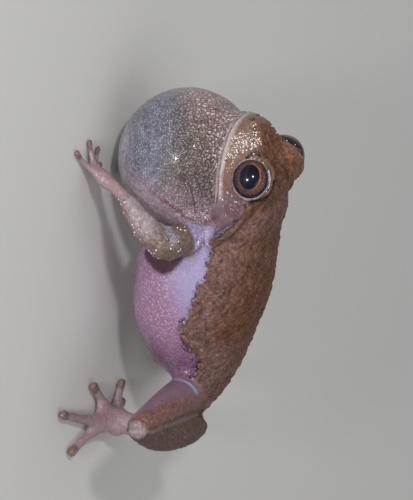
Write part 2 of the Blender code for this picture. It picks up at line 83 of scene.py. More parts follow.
# How many degrees longer the opening between the lids is along the head than across it
LID_OVAL = {"left": 4.5, "right": 8.5}
# The lids' skin about an eye's middle, in millimetres: it is moved within LID_OUTER, what lies within
# LID_INNER goes under the eyeball's surface, and LID_UNDER is how far under
LID_INNER = 2.35
LID_OUTER = 2.73
LID_UNDER = 0.12
EARDRUM = (-9.15, -5.4, 15.6)
NOSTRIL = (-17.45, -0.75, 15.5)
MOUTH_LINE = (
    (-17.6, 0.0, 14.2), (-17.25, -1.6, 14.05), (-16.0, -3.2, 13.87), (-14.2, -4.35, 13.82),
    (-12.7, -4.8, 13.82), (-11.1, -5.1, 13.88), (-9.8, -5.3, 13.9), (-9.1, -5.45, 13.6),
)
# The mouth line's height, as places on x and heights there
MOUTH_HEIGHTS = ((-17.6, -16.0, -9.8), (14.2, 13.87, 13.9))
CANTHUS = (
    (-17.5, -0.3, 16.05), (-17.0, -1.0, 16.4), (-16.3, -1.6, 16.75), (-15.5, -2.1, 17.0),
    (-14.6, -2.5, 17.25),
)
DARK_STRIPE = (
    (-17.5, -0.5, 15.6), (-17.0, -1.2, 16.05), (-16.4, -1.8, 16.35), (-15.5, -2.3, 16.65),
    (-14.8, -2.75, 16.75),
)
# Lines about the left eye as seen along its axis: how far forward and outward of its middle, while
# points further than LINES_BEHIND behind the middle are left alone
LINES_BEHIND = 0.8
EYE_LINES = {
    "wrinkle": ((2.2, -0.35), (2.53, -0.02), (2.72, 0.47), (2.6, 0.86), (2.4, 0.94)),
    "crease": (
        (-0.2, 2.52), (-0.6, 2.5), (-1.1, 2.36), (-1.6, 2.02), (-2.08, 1.35), (-2.34, 0.5), (-2.42, -0.1)),
}
BROW_SPOTS = ((-13.0, -1.9, 18.65), (-12.75, -1.55, 18.5))
FACE_DOT = (-14.0, -4.3, 14.38)
EAR_FOLD = (
    (-10.2, -5.3, 17.25), (-9.55, -5.35, 16.95), (-9.1, -5.55, 16.85), (-8.1, -6.1, 16.3),
    (-7.3, -6.7, 15.45), (-6.1, -7.35, 14.4), (-4.8, -6.6, 13.75),
)
BASE_VESSEL = (
    (-9.6, -6.7, 8.6), (-8.6, -6.5, 9.7), (-7.8, -6.35, 10.6), (-7.65, -6.15, 11.9),
    (-7.7, -5.6, 13.2), (-8.05, -5.55, 14.0),
)
INNER_ELBOW = ((-7.55, -8.5, 9.5), (-7.2, -9.0, 10.3), (-6.55, -9.55, 11.1))
HEAD_LINES = {
    "mouth": MOUTH_LINE,
    "canthus": CANTHUS,
    "stripe": DARK_STRIPE,
    "fold": EAR_FOLD,
    "base_vessel": BASE_VESSEL,
    "inner_elbow": INNER_ELBOW,
}
# The edge of the brown skin, as x and z in the side view, from the corner of the mouth to the vent
BROWN_EDGE = (
    (-9.6, 13.75), (-10.1, 14.5), (-10.4, 15.3), (-10.3, 16.3), (-9.6, 17.05), (-8.7, 16.85),
    (-7.8, 16.2), (-7.0, 15.2), (-6.2, 14.35), (-4.9, 13.9), (-2.0, 13.6), (-0.65, 12.8),
    (0.9, 12.4), (2.35, 11.75), (4.5, 10.8), (5.3, 10.7), (7.0, 11.1), (7.85, 11.8), (10.0, 11.45),
    (12.0, 10.3), (17.5, 8.6),
)
# The way that the fine ridges of the dry skin run on the left, and the share of their length along it
# that is drawn out
RIDGE_WAY = (-0.77, 0.53, 0.35)
RIDGE_PULL = 0.65
# Corners that close the brown edge to an outline of all that lies below it
BELOW_EDGE = ((20.0, 2.0), (-30.0, 2.0), (-30.0, 13.75))
# The edge's teeth: how near to it they begin, their size and their height, in millimetres
TEETH_BAND = 1.2
TEETH_SIZE = 0.75
TEETH_HEIGHT = 0.42
# Where the skin needs a finer mesh: in front of this x and above this height, and this near to the
# brown edge in front of the last x
HEAD_CORNER = (-8.4, 13.3)
EDGE_BAND = 0.35
EDGE_END = 11.5
# How strongly the pale rims of the lids show
LID_RIM = {"left": 1.0, "right": 0.1}
# Where the throat sac meets the chest: x at a list of heights
SAC_REAR_HEIGHTS = (5.0, 7.2, 8.8, 11.0, 12.3, 13.6, 14.9)
SAC_REAR = (-5.9, -6.0, -6.6, -7.4, -7.5, -7.85, -8.85)
SAC_CENTRE = (-11.6, 0.0, 7.85)
SAC_RADIUS = 7.4
VESSEL = (
    (-12.8, -5.9, 3.5), (-11.6, -6.2, 3.6), (-11.4, -6.85, 5.0), (-11.05, -7.2, 6.5),
    (-10.0, -7.2, 7.8), (-9.3, -7.0, 8.6), (-8.1, -6.5, 10.2), (-7.7, -6.2, 12.0),
)
VEINS = (
    ((-12.5, -6.6, 11.0), (-11.3, -6.4, 11.35), (-10.3, -6.2, 11.5), (-9.4, -5.9, 11.55), (-8.1, -5.8, 11.7)),
    ((-12.85, -6.8, 10.2), (-12.2, -6.7, 10.7), (-11.6, -6.6, 11.2)),
    ((-12.9, -6.3, 11.7), (-11.4, -6.1, 12.3), (-9.9, -5.8, 12.5)),
)

# The rear border of the crimson hollow behind the arm, darkened there as painted shadow: x at a list of
# heights
ARMPIT_HEIGHTS = (4.0, 6.15, 6.76, 7.62, 8.75, 9.8, 10.64, 11.5)
ARMPIT = (-3.2, -2.33, -2.18, -1.87, -1.67, -2.2, -3.18, -4.5)
# Limb places of each side: the elbow, the pale knob of the knee, the thigh's middle line as y and z,
# and how far the lines of the left thigh move to lie on this side's thigh
ELBOW = {"left": (-5.5, -9.2, 10.0), "right": (-4.9, 9.4, 9.7)}
KNEE_KNOB = {"left": (11.9, -16.9, 10.6), "right": (8.4, 15.75, 4.1)}
THIGH_AXIS = {
    "left": ((2.6, 9.0, 15.9), (10.2, 10.3, 10.4)),
    "right": ((2.6, 8.6, 14.4), (9.8, 6.9, 4.0)),
}
THIGH_SHIFT = {"left": (0.0, 0.0, 0.0), "right": (-0.9, 0.0, -2.35)}
# The border of the smooth front of the thigh: its height over the thigh's middle at distances from
# the frog's middle plane
THIGH_BORDER_AT = (6.5, 8.25, 10.9, 14.1, 15.9)
THIGH_BORDER = (1.6, 1.3, 0.95, 0.3, -0.8)
BLUE_RIM = (
    (10.75, -6.2, 9.0), (10.4, -6.6, 10.3), (10.65, -6.5, 11.15), (11.2, -6.35, 11.8),
    (11.7, -6.2, 12.05),
)
# Roots of the digits, and each digit's bearing off straight ahead, its bend in degrees and its length
HAND_ROOT = {"left": (-10.9, -7.9), "right": (-9.8, 8.2)}
HAND_DIGITS = {
    "left": ((-78, 10, 2.6), (-42, -8, 3.2), (-6, 8, 3.7), (34, 6, 4.1)),
    "right": ((-72, 10, 2.6), (-35, -8, 3.3), (10, 8, 4.0), (58, 10, 3.2)),
}
FOOT_ROOT = {"left": (17.8, -4.7), "right": (17.0, 9.9)}
FOOT_DIGITS = {
    "left": ((-78, 0, 3.3), (-50, 8, 4.4), (30, 12, 5.8), (65, -10, 10.6), (94, 24, 7.9)),
    "right": ((-60, 0, 3.3), (-28, 8, 4.6), (8, 12, 7.0), (38, -10, 10.0), (74, 20, 6.2)),
}
PAD_HEIGHT = 0.4
# Lumps of soft skin between the vent and the root of the left thigh: centre and radius
SEAT_FOLD = (
    ((13.6, -7.2, 11.2), 0.45),
    ((14.0, -5.9, 11.2), 0.42),
    ((14.35, -4.6, 11.05), 0.45),
    ((14.7, -3.3, 10.85), 0.42),
    ((15.15, -2.3, 10.7), 0.5),
    ((15.65, -1.3, 10.45), 0.52),
)
# Where the granules of the lids' rims sit, in degrees from the outward way towards the rear
RIM_TURNS = {"left": (-88, -79, -66, -52, *range(-24, 27, 5), 38), "right": (-60, -35, 150, 165)}
# The photograph's view: where the camera looks, from which side, and which way is up in the picture
VIEW_TARGET = (-3.1, -3.0, 11.5)
VIEW_FROM = (-0.379033, -0.825071, 0.419036)
VIEW_UP = (-0.925383, 0.337946, -0.171635)
# The way from the left flank up over the back and away from that view
UPPER_REAR = (0.0, 0.452825, 0.8916)
# Patches of wet granules on the left: centre, radius and how many
GRANULE_PATCHES = (
    ((-15.75, -2.9, 15.2), 0.7, 28),
    ((-16.35, -2.35, 15.35), 0.35, 6),
    ((-15.1, -2.95, 15.85), 0.5, 9),
    ((-15.0, -3.15, 15.4), 0.45, 9),
    ((-17.1, -1.3, 15.95), 0.28, 5),
    ((-16.4, -1.65, 16.45), 0.35, 8),
    ((-15.5, -2.15, 16.75), 0.5, 34),
    ((-14.85, -2.6, 16.65), 0.35, 8),
    ((-14.3, -3.9, 14.95), 0.5, 14),
    ((-13.5, -4.4, 14.9), 0.45, 10),
    ((-12.6, -4.8, 14.9), 0.4, 5),
    ((-10.6, -5.1, 15.2), 0.45, 9),
    ((-10.3, -5.3, 16.0), 0.35, 5),
    ((-5.3, -6.5, 12.95), 0.7, 8),
    ((-5.9, -9.8, 11.4), 0.6, 7),
    ((-7.2, -8.2, 11.3), 0.5, 6),
    ((-4.9, -10.4, 9.1), 0.8, 14),
    ((-6.9, -10.2, 6.9), 0.8, 10),
    ((-9.1, -9.2, 4.9), 0.7, 6),
)


def middle(node):
    """The middle of a solid's box, in millimetres."""
    low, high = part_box(node)
    return (low + high) / (2 * MM)


ZERO = np.array(middle("eye_left")) - np.array(EYE["left"])


def to_frame(point):
    """A place in this file's millimetres, as metres in the frame."""
    return Vector(np.array(point) + ZERO) * MM


def on_side(point, side):
    """A point or a direction of the left, on the given side."""
    return (point[0], point[1] if side == "left" else -point[1], point[2])


def hex_colour(code):
    """Turn an sRGB hex code into linear red, green, blue and alpha."""
    channels = [int(code[i : i + 2], 16) / 255 for i in (1, 3, 5)]
    return (*[c / 12.92 if c <= 0.04045 else ((c + 0.055) / 1.055) ** 2.4 for c in channels], 1.0)


# Small marks of colour, each named for what it paints
PAINT_CODES = {
    "olive_blotch": "#4a3f30",
    "crown_dark": "#4a3328",
    "crown_olive": "#5b5338",
    "ridge_valley_shade": "#37231b",
    "ridge_top_light": "#8a6552",
    "lid": "#866a5b",
    # Painted shade in the grooves of the crease behind the left eye and of the wrinkle before it
    "crease": "#1d110e",
    "wrinkle": "#24150f",
    "ear_fold_shadow": "#22120f",
    "brow_rust": "#a0603c",
    "brow_dark": "#2e1d15",
    "face_dot": "#2a1a18",
    "inner_elbow": "#a9b2cc",
    "knee_groove_shade": "#4b3733",
    "seat": "#8d7f83",
    "neck_dark": "#4d3540",
    "crimson": "#5f2f3b",
    "mouth_groove_shade": "#4a3638",
    "edge_shadow": "#241312",
    "iris_flake_and_glint": "#c49a8a",
    "pupil_front": "#0a0809",
}
PAINT = {name: hex_colour(code) for name, code in PAINT_CODES.items()}


def colour_property(name, description, code):
    """A colour setting, given as an sRGB hex code."""
    return bpy.props.FloatVectorProperty(
        name=name, description=description, subtype="COLOR", size=4, min=0.0, max=1.0,
        default=hex_colour(code)
    )


def length_property(name, description, millimetres):
    """A length setting, given in millimetres."""
    return bpy.props.FloatProperty(
        name=name, description=description, unit="LENGTH", default=millimetres * MM
    )


class FrogSkinSettings(bpy.types.PropertyGroup):
    """Sizes and colours of the skin."""

    closing: length_property("Closing", "How far each solid grows to close the cuts", 0.17)
    grain: length_property("Grain", "Edge length of the skin's mesh", 0.272)
    back: colour_property("Back", "Brown of the back", "#6f4731")
    back_rust: colour_property("Rust", "Redder brown of the back", "#6d402a")
    back_side: colour_property("Side of the back", "Greyer brown near the flank", "#80645f")
    crown: colour_property("Crown", "Brown of the head's top", "#744e3a")
    crown_streak: colour_property("Crown streak", "Orange-brown streaks of the head's top", "#7d5138")
    lores: colour_property("Lores", "Tan between eye and nostril", "#7f6456")
    upper_lip: colour_property("Upper lip", "Pale tan along the mouth", "#b5a6a5")
    jaw: colour_property("Lower lip", "Pale lilac under the mouth line", "#aa9aa1")
    stripe: colour_property("Stripe", "Dark stripe from nostril to eye", "#35251f")
    lid_rim: colour_property("Lid rim", "Pale rim of the eyelids", "#8a858e")
    flank: colour_property("Flank", "Bluish lilac of the flank", "#9b91b8")
    belly: colour_property("Belly", "Pink lilac of the belly", "#946a8f")
    groin: colour_property("Groin", "Purple of the lower belly", "#683f63")
    # The hollow's dark crimson is the skin's red, darkened by the arm's painted shadow
    armpit_crimson_and_shadow: colour_property("Armpit", "Crimson of the skin under the elbow", "#3a111d")
    sac_dark: colour_property("Sac's middle", "Dark brown-grey of the sac's middle", "#655551")
    sac_blue: colour_property("Sac's front", "Slate blue of the sac's front", "#6b6c7e")
    sac_warm: colour_property("Sac's top", "Pinkish grey of the sac near the head", "#a88b8d")
    # The paleness of the sac's rim is painted light, shining through the thin skin there
    sac_rim_glow: colour_property("Sac's rim", "Paler, translucent underside of the sac", "#9c949f")
    # Darker lilac: the skin's own lilac, with painted shade under the ear fold and in the crease behind the
    # sac
    lilac_and_shade_below_ear: colour_property("Below the eardrum", "Darker lilac between the sac and the neck", "#6b525e")
    # Pinkish lilac where the sac meets the chest, spread wide and pale there as painted light
    sac_base_painted_light: colour_property("Sac's base", "Pinkish lilac where the sac meets the chest", "#ab909f")
    ear: colour_property("Eardrum", "Pinkish lilac of the eardrum", "#704f57")
    ear_round: colour_property("Round the eardrum", "Pinkish skin round the eardrum", "#766067")
    arm: colour_property("Arm", "Tan of the elbows", "#6d5a50")
    forearm: colour_property("Forearm", "Greyer, paler tan of the forearms", "#a3949a")
    arm_edge: colour_property("Arm's edge", "Reddish underside of the forearm", "#84605d")
    leg: colour_property("Leg", "Pink-brown of the thighs", "#805b56")
    shank: colour_property("Shank", "Brown-grey of the shanks", "#614a44")
    thigh_front: colour_property("Thigh front", "Purple of the thigh's smooth front", "#7f6576")
    blue_rim: colour_property("Blue rim", "Blue-white fold at the thigh's root", "#9db0da")
    knee: colour_property("Knee", "Pale skin over the knee", "#998a8c")
    foot: colour_property("Foot", "Pinkish tan of hands and feet", "#9d8489")
    digit_band: colour_property("Digit band", "Lavender-white band before each pad", "#9d929a")
    pad: colour_property("Toe pad", "Orange-brown of the pads", "#7c625b")


class FrogEyeSettings(bpy.types.PropertyGroup):
    """Sizes and colours of the eyes."""

    radius: length_property("Radius", "Radius of the eyeball", 2.3)
    opening: bpy.props.FloatProperty(
        name="Opening", description="Half angle of the opening between the lids", subtype="ANGLE",
        default=math.radians(55)
    )
    pupil_half_length: length_property("Pupil half length", "Half the pupil along the head", 1.29)
    pupil_half_height: length_property("Pupil half height", "Half the pupil across", 1.0)
    iris_half_length: length_property("Iris half length", "Half the iris along the head", 1.8)
    iris_half_height: length_property("Iris half height", "Half the iris across", 1.59)
    iris: colour_property("Iris", "Copper brown of the iris", "#5e392e")
    iris_front: colour_property("Iris in front", "Greyer brown of the front of the iris", "#4a3534")
    ring: colour_property("Ring", "Orange ring round the pupil", "#9c5f42")
    # The pupil's navy is a painted bluish reflection over its black
    pupil: colour_property("Pupil", "Navy black of the pupil", "#050c22")
    limbus: colour_property("Limbus", "Dark rim of the iris", "#10131f")


class FrogBeadSettings(bpy.types.PropertyGroup):
    """Sizes and colours of the wet granules and the vessels of the sac."""

    smallest: length_property("Smallest", "Radius of the smallest granule", 0.045)
    largest: length_property("Largest", "Radius of the largest granule", 0.1)
    vessel_radius: length_property("Vessel", "Radius of the blood vessel", 0.05)
    # The granules' near-white colour stands partly for their wet glints: painted highlight
    granule: colour_property("Granule", "Pale wet granules", "#eeeaec")
    vessel: colour_property("Vessel", "Red of the blood vessel", "#7d4450")
    vein: colour_property("Vein", "Dark veins of the sac", "#4c3840")


class FrogStageSettings(bpy.types.PropertyGroup):
    """The floor and the camera."""

    distance: length_property("Camera distance", "From the camera to the frog", 400)
    lens: bpy.props.FloatProperty(
        name="Lens", description="Focal length of the camera", subtype="DISTANCE_CAMERA", default=278.2
    )
    floor: colour_property("Floor", "Pale floor", "#d9d9d6")


def add_node(tree, kind, inputs=None, **settings):
    """Add a node with its settings, and set or link its inputs; another node links by its first output."""
    node = tree.nodes.new(kind)
    for name, value in settings.items():
        setattr(node, name, value)
    for key, value in (inputs or {}).items():
        if isinstance(value, bpy.types.Node):
            value = next(socket for socket in value.outputs if socket.enabled)
        if isinstance(value, bpy.types.NodeSocket):
            tree.links.new(value, node.inputs[key])
        else:
            node.inputs[key].default_value = value
    return node


def new_material(name):
    """A material with an empty node tree."""
    material = bpy.data.materials.new(name)
    material.use_nodes = True
    material.node_tree.nodes.clear()
    return material


def step(values, low, high):
    """Rise smoothly from 0 at low to 1 at high."""
    t = np.clip((values - low) / (high - low), 0.0, 1.0)
    return t * t * (3.0 - 2.0 * t)


def bell(values, centre, width):
    """A smooth bump of height 1 about a centre."""
    return np.exp(-(((values - centre) / width) ** 2))


def across_skin(away, normals):
    """The length of each offset along the skin, or its whole length beyond SKIN_REACH."""
    length = np.linalg.norm(away, axis=1)
    rise = np.einsum("ij,ij->i", away, normals)
    return np.where(length < SKIN_REACH, np.sqrt(np.maximum(length**2 - rise**2, 0.0)), length)


def along(path, points, normals=None):
    """Each point's distance to a path, and how far along the path its nearest place is, from 0 to 1.

    With the skin's normals given, the distance is taken along the skin.
    """
    best = np.full(len(points), 1e9)
    share = np.zeros(len(points))
    nearest = np.zeros((len(points), 3))
    count = len(path) - 1
    for i in range(count):
        start = np.array(path[i])
        leg = np.array(path[i + 1]) - start
        t = np.clip((points - start) @ leg / (leg @ leg), 0.0, 1.0)
        away = points - start - t[:, None] * leg
        distance = np.linalg.norm(away, axis=1)
        nearer = distance < best
        best[nearer] = distance[nearer]
        nearest[nearer] = away[nearer]
        share[nearer] = (i + t[nearer]) / count
    if normals is not None:
        best = across_skin(nearest, normals)
    return best, share


def distance_to(points, centre):
    """Each point's distance from a place."""
    return np.linalg.norm(points - np.array(centre), axis=1)


def inside(outline, points):
    """Which flat points lie inside a closed outline."""
    result = np.zeros(len(points), bool)
    x, y = points.T
    for (x0, y0), (x1, y1) in zip(outline, outline[1:] + outline[:1]):
        crosses = (y0 > y) != (y1 > y)
        slope = (x1 - x0) / (y1 - y0) if y1 != y0 else 0.0
        result ^= crosses & (x < x0 + slope * (y - y0))
    return result


def rough_field(points, size, octaves, seed):
    """Smooth noise from about -1 to 1 whose lumps have the given size in millimetres."""
    shift = Vector((seed * 17.3, seed * 5.7, seed * 11.1))
    values = [noise.fractal(Vector(point) / size + shift, 1.0, 2.0, octaves) for point in points]
    return np.array(values)


def wart_field(points, size, seed):
    """Rounded bumps from 0 to 1, one in each cell of the given size in millimetres."""
    shift = Vector((seed * 7.1, seed * 13.3, seed * 3.7))
    nearest = np.array([noise.voronoi(Vector(point) / size + shift)[0][0] for point in points])
    return np.clip(1.0 - (nearest / WART_SHARE) ** 2, 0.0, 1.0)


def spread(values, pairs, rounds):
    """Average a value of each vertex with its neighbours, several times over."""
    count = np.bincount(pairs.ravel(), minlength=len(values))
    for i in range(rounds):
        total = np.bincount(pairs[:, 0], values[pairs[:, 1]], len(values))
        total += np.bincount(pairs[:, 1], values[pairs[:, 0]], len(values))
        values = 0.5 * values + 0.5 * total / count
    return values


def vertex_array(mesh, what):
    """The places or normals of a mesh's vertices, one row each."""
    values = np.empty(len(mesh.vertices) * 3)
    mesh.vertices.foreach_get(what, values)
    return values.reshape(-1, 3)


def edge_pairs(mesh):
    """The two vertices of each edge."""
    pairs = np.empty(len(mesh.edges) * 2, int)
    mesh.edges.foreach_get("vertices", pairs)
    return pairs.reshape(-1, 2)


def folded_over(points):
    """Points or directions brought over to the frog's left side."""
    folded = points.copy()
    folded[:, 1] = np.where(points[:, 1] > 0, -points[:, 1], points[:, 1])
    return folded


def select_only(item):
    """Select one object and make it the active one."""
    bpy.ops.object.select_all(action="DESELECT")
    item.select_set(True)
    bpy.context.view_layer.objects.active = item


def brown_edge(folded):
    """How far each point lies below the jagged edge of the brown skin, in millimetres; above is negative."""
    line = [(x, 0.0, z) for x, z in BROWN_EDGE]
    distance = along(line, folded * np.array((1.0, 0.0, 1.0)))[0]
    outline = BROWN_EDGE + BELOW_EDGE
    under = np.where(inside(outline, folded[:, (0, 2)]), distance, -distance)
    near = np.abs(under) < TEETH_BAND
    teeth = rough_field(folded[near], TEETH_SIZE, 3, 3) * TEETH_HEIGHT
    under[near] += teeth * (1 - 0.85 * step(-folded[near, 0], 6.0, 8.0))
    return under


def eye_axes(side, axis=None, roll=EYE_ROLL):
    """An eye's axis, the direction of its long way, which is forward, and the outward one across."""
    axis = Vector(axis or EYE_AXIS[side]).normalized()
    forward = (Vector((-1, 0, 0)) + axis * axis.x).normalized()
    rise = axis.cross(forward)
    rise *= 1 if rise.z > 0 else -1
    turn = math.radians(roll)
    long_way = forward * math.cos(turn) + rise * math.sin(turn)
    return axis, long_way, rise * math.cos(turn) - forward * math.sin(turn)


def off_eye_line(path, folded):
    """Distance from a line about the eye, as seen along its axis."""
    seen = (folded - np.array(EYE["left"])) @ np.array(eye_axes("left", roll=0.0)).T
    flat = [(0.0, forward, outward) for forward, outward in path]
    distance = along(flat, seen * np.array((0.0, 1.0, 1.0)))[0]
    return np.where(seen[:, 0] > -LINES_BEHIND, distance, FAR)


def eye_angles(points, side):
    """Distance from an eye's middle, and the angle off its axis in degrees, of each point.

    The opening between the lids is longer than wide, so the angle is taken smaller along its long way
    and larger across it: the edge of the opening then lies at one angle.
    """
    away = points - np.array(EYE[side])
    distance = np.linalg.norm(away, axis=1)
    axis, long_way, across = [np.array(direction) for direction in eye_axes(side)]
    angle = np.degrees(np.arccos(np.clip(away @ axis / distance, -1, 1)))
    along_it = (away @ long_way) ** 2
    across_it = (away @ across) ** 2
    oval = (along_it - across_it) / (along_it + across_it + 1e-9)
    return distance, angle - LID_OVAL[side] * oval * np.clip(angle / 50, 0, 1) * (1 - step(angle, 65, 90))


def fused_skin(settings):
    """Copies of the solids of flesh, grown to close the cuts, melted into one skin and drawn in again."""
    bm = bmesh.new()
    for name in FLESH:
        bm.from_mesh(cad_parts[name].data)
    for centre, radius in SEAT_FOLD:
        place = Matrix.Translation(to_frame(centre))
        bmesh.ops.create_icosphere(bm, subdivisions=2, radius=radius * MM, matrix=place)
    bmesh.ops.remove_doubles(bm, verts=bm.verts, dist=0.001 * MM)
    mesh = bpy.data.meshes.new("skin")
    bm.to_mesh(mesh)
    bm.free()
    skin = bpy.data.objects.new("skin", mesh)
    bpy.context.scene.collection.objects.link(skin)
    select_only(skin)
    grow = skin.modifiers.new("grow", "DISPLACE")
    grow.mid_level = 0.0
    grow.strength = settings.closing
    melt = skin.modifiers.new("melt", "REMESH")
    melt.mode = "VOXEL"
    melt.voxel_size = settings.grain
    draw_in = skin.modifiers.new("draw_in", "DISPLACE")
    draw_in.mid_level = 0.0
    draw_in.strength = -settings.closing
    for modifier in ("grow", "melt", "draw_in"):
        bpy.ops.object.modifier_apply(modifier=modifier)
    return skin


def keep_outer_shell(bm):
    """Drop the small shells that closing a gap may seal inside."""
    seen = set()
    shells = []
    bm.faces.ensure_lookup_table()
    for start in bm.faces:
        if start.index in seen:
            continue
        seen.add(start.index)
        shell = [start]
        for face in shell:
            for edge in face.edges:
                for other in edge.link_faces:
                    if other.index not in seen:
                        seen.add(other.index)
                        shell.append(other)
        shells.append(shell)
    largest = max(shells, key=len)
    spare = [face for shell in shells if shell is not largest for face in shell]
    bmesh.ops.delete(bm, geom=spare, context="FACES")


def head_and_edge(folded):
    """Where the skin needs a finer mesh: the head, and a band along the edge of the brown skin."""
    head = (folded[:, 0] < HEAD_CORNER[0]) & (folded[:, 2] > HEAD_CORNER[1])
    band = (np.abs(brown_edge(folded)) < EDGE_BAND) & (folded[:, 0] < EDGE_END)
    return head | band


def finest_features(folded):
    """Where it needs the finest mesh: the mouth line, the lids' rims, the nostril and the creases."""
    distance, angle = eye_angles(folded, "left")
    rims = (distance < 2.7) & (angle > 47) & (angle < 67)
    near = rims | (distance_to(folded, NOSTRIL) < 0.4)
    near |= along(MOUTH_LINE, folded)[0] < 0.25
    for path in EYE_LINES.values():
        near |= off_eye_line(path, folded) < 0.22
    return near


def refine(skin, wanted):
    """Halve the mesh's edges where a test of the faces' middles asks for it."""
    bm = bmesh.new()
    bm.from_mesh(skin.data)
    middles = np.array([face.calc_center_median() for face in bm.faces]) / MM - ZERO
    chosen = np.flatnonzero(wanted(folded_over(middles)))
    bm.faces.ensure_lookup_table()
    edges = {edge for i in chosen for edge in bm.faces[int(i)].edges}
    bmesh.ops.subdivide_edges(bm, edges=list(edges), cuts=1, use_grid_fill=True)
    bm.to_mesh(skin.data)
    bm.free()


def soften(skin, rounds):
    """Smooth the whole mesh evenly."""
    mesh = skin.data
    pairs = edge_pairs(mesh)
    points = vertex_array(mesh, "co")
    for axis in range(3):
        points[:, axis] = spread(points[:, axis], pairs, rounds)
    mesh.vertices.foreach_set("co", points.ravel())
    mesh.update()


def nearest_nodes(points):
    """The name of the solid nearest to each point."""
    vertices = []
    faces = []
    owners = []
    for name in FLESH:
        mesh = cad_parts[name].data
        start = len(vertices)
        vertices += [vertex.co / MM - Vector(ZERO) for vertex in mesh.vertices]
        faces += [[start + i for i in polygon.vertices] for polygon in mesh.polygons]
        owners += [name] * len(mesh.polygons)
    tree = BVHTree.FromPolygons(vertices, faces)
    return np.array([owners[tree.find_nearest(point)[2]] for point in points])


def seat_lids(points, settings):
    """Bring the lids down on the eyeballs, with a rounded rim about the opening."""
    radius = settings.radius / MM
    opening = math.degrees(settings.opening)
    for side in SIDES:
        distance, angle = eye_angles(points, side)
        reach = np.clip((distance - LID_INNER) / (LID_OUTER - LID_INNER), 0.0, 1.0)
        rim = radius + 0.16 * step(angle, opening - 2, opening + 4)
        rim -= 0.2 * (1 - step(angle, opening - 7, opening)) + 0.05 * bell(angle, opening + 9, 3.5)
        outer = rim + (LID_OUTER - rim) * step(angle, opening + 8, opening + 32)
        inner = radius - LID_UNDER
        target = inner + (outer - inner) * reach ** 0.5
        near = distance < LID_OUTER
        centre = np.array(EYE[side])
        points[near] = centre + (points[near] - centre) * (target[near] / distance[near])[:, None]


def digit_tips(roots, digits, side):
    """The middles of the pads of one hand or foot."""
    outward = -1 if side == "left" else 1
    steps = 4
    for bearing, bend, length in digits[side]:
        x, y = roots[side]
        for i in range(steps):
            angle = math.radians(bearing + bend * ((i + 0.5) / steps - 0.5))
            x -= math.cos(angle) * length / steps
            y += outward * math.sin(angle) * length / steps
        yield (x, y, PAD_HEIGHT)


def thigh_fold(points, owner):
    """How much nearer each vertex by the fold is to the thigh than to the shank, in millimetres."""
    lean = np.full(len(points), FAR)
    for side in SIDES:
        trees = []
        for part in ("thigh", "shank"):
            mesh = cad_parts[f"{part}_{side}"].data
            vertices = [vertex.co / MM - Vector(ZERO) for vertex in mesh.vertices]
            faces = [list(polygon.vertices) for polygon in mesh.polygons]
            trees.append(BVHTree.FromPolygons(vertices, faces))
        for i in np.flatnonzero(np.isin(owner, (f"thigh_{side}", f"shank_{side}"))):
            first, second = [tree.find_nearest(points[i])[3] for tree in trees]
            if min(first, second) < 0.5:
                lean[i] = first - second
    return lean


def elbow_distance(points):
    """Each point's distance from its own side's elbow."""
    left, right = [distance_to(points, ELBOW[side]) for side in SIDES]
    return np.where(points[:, 1] < 0, left, right)


def merge_seams(points, owner, pairs):
    """Smooth the skin where an arm leaves the trunk and at the wrists and ankles."""
    for part, rounds in (("upper_arm", 20), ("hand", 6), ("foot", 6), ("tarsus", 6)):
        share = spread(np.isin(owner, [f"{part}_{side}" for side in SIDES]).astype(float), pairs, rounds)
        weight = (4 * share * (1 - share))[:, None]
        smooth = np.column_stack([spread(points[:, axis], pairs, rounds * 2) for axis in range(3)])
        points += weight * (smooth - points)


def add_limb_fields(points, folded, fields):
    """Add the fields of the digits, the elbows, the knees and the smooth fronts of the thighs."""
    tips = []
    for side in SIDES:
        tips += digit_tips(HAND_ROOT, HAND_DIGITS, side)
        tips += digit_tips(FOOT_ROOT, FOOT_DIGITS, side)
    fields["tip"] = np.min([distance_to(points, tip) for tip in tips], axis=0)
    x, y, z = folded.T
    tan = np.zeros(len(points))
    knob = np.full(len(points), FAR)
    smooth = np.zeros(len(points))
    rim = np.full(len(points), FAR)
    for side in SIDES:
        here = (points[:, 1] < 0) == (side == "left")
        tan = np.where(here, 1 - step(distance_to(points, ELBOW[side]), 2.8, 3.15), tan)
        knob = np.where(here, distance_to(points, KNEE_KNOB[side]), knob)
        rise = z - np.interp(-y, *THIGH_AXIS[side])
        smooth = np.where(here, step(np.interp(-y, THIGH_BORDER_AT, THIGH_BORDER) - rise, -0.6, 0.3), smooth)
        shift = np.array(THIGH_SHIFT[side])
        rim = np.where(here, along(np.array(BLUE_RIM) + shift, folded)[0], rim)
    fields["tan"] = np.maximum(fields["forearm"], tan)
    fields["knob"] = knob
    fields["smooth"] = smooth * fields["thigh"] * step(-x, -13.6, -12.4)
    fields["rim"] = rim


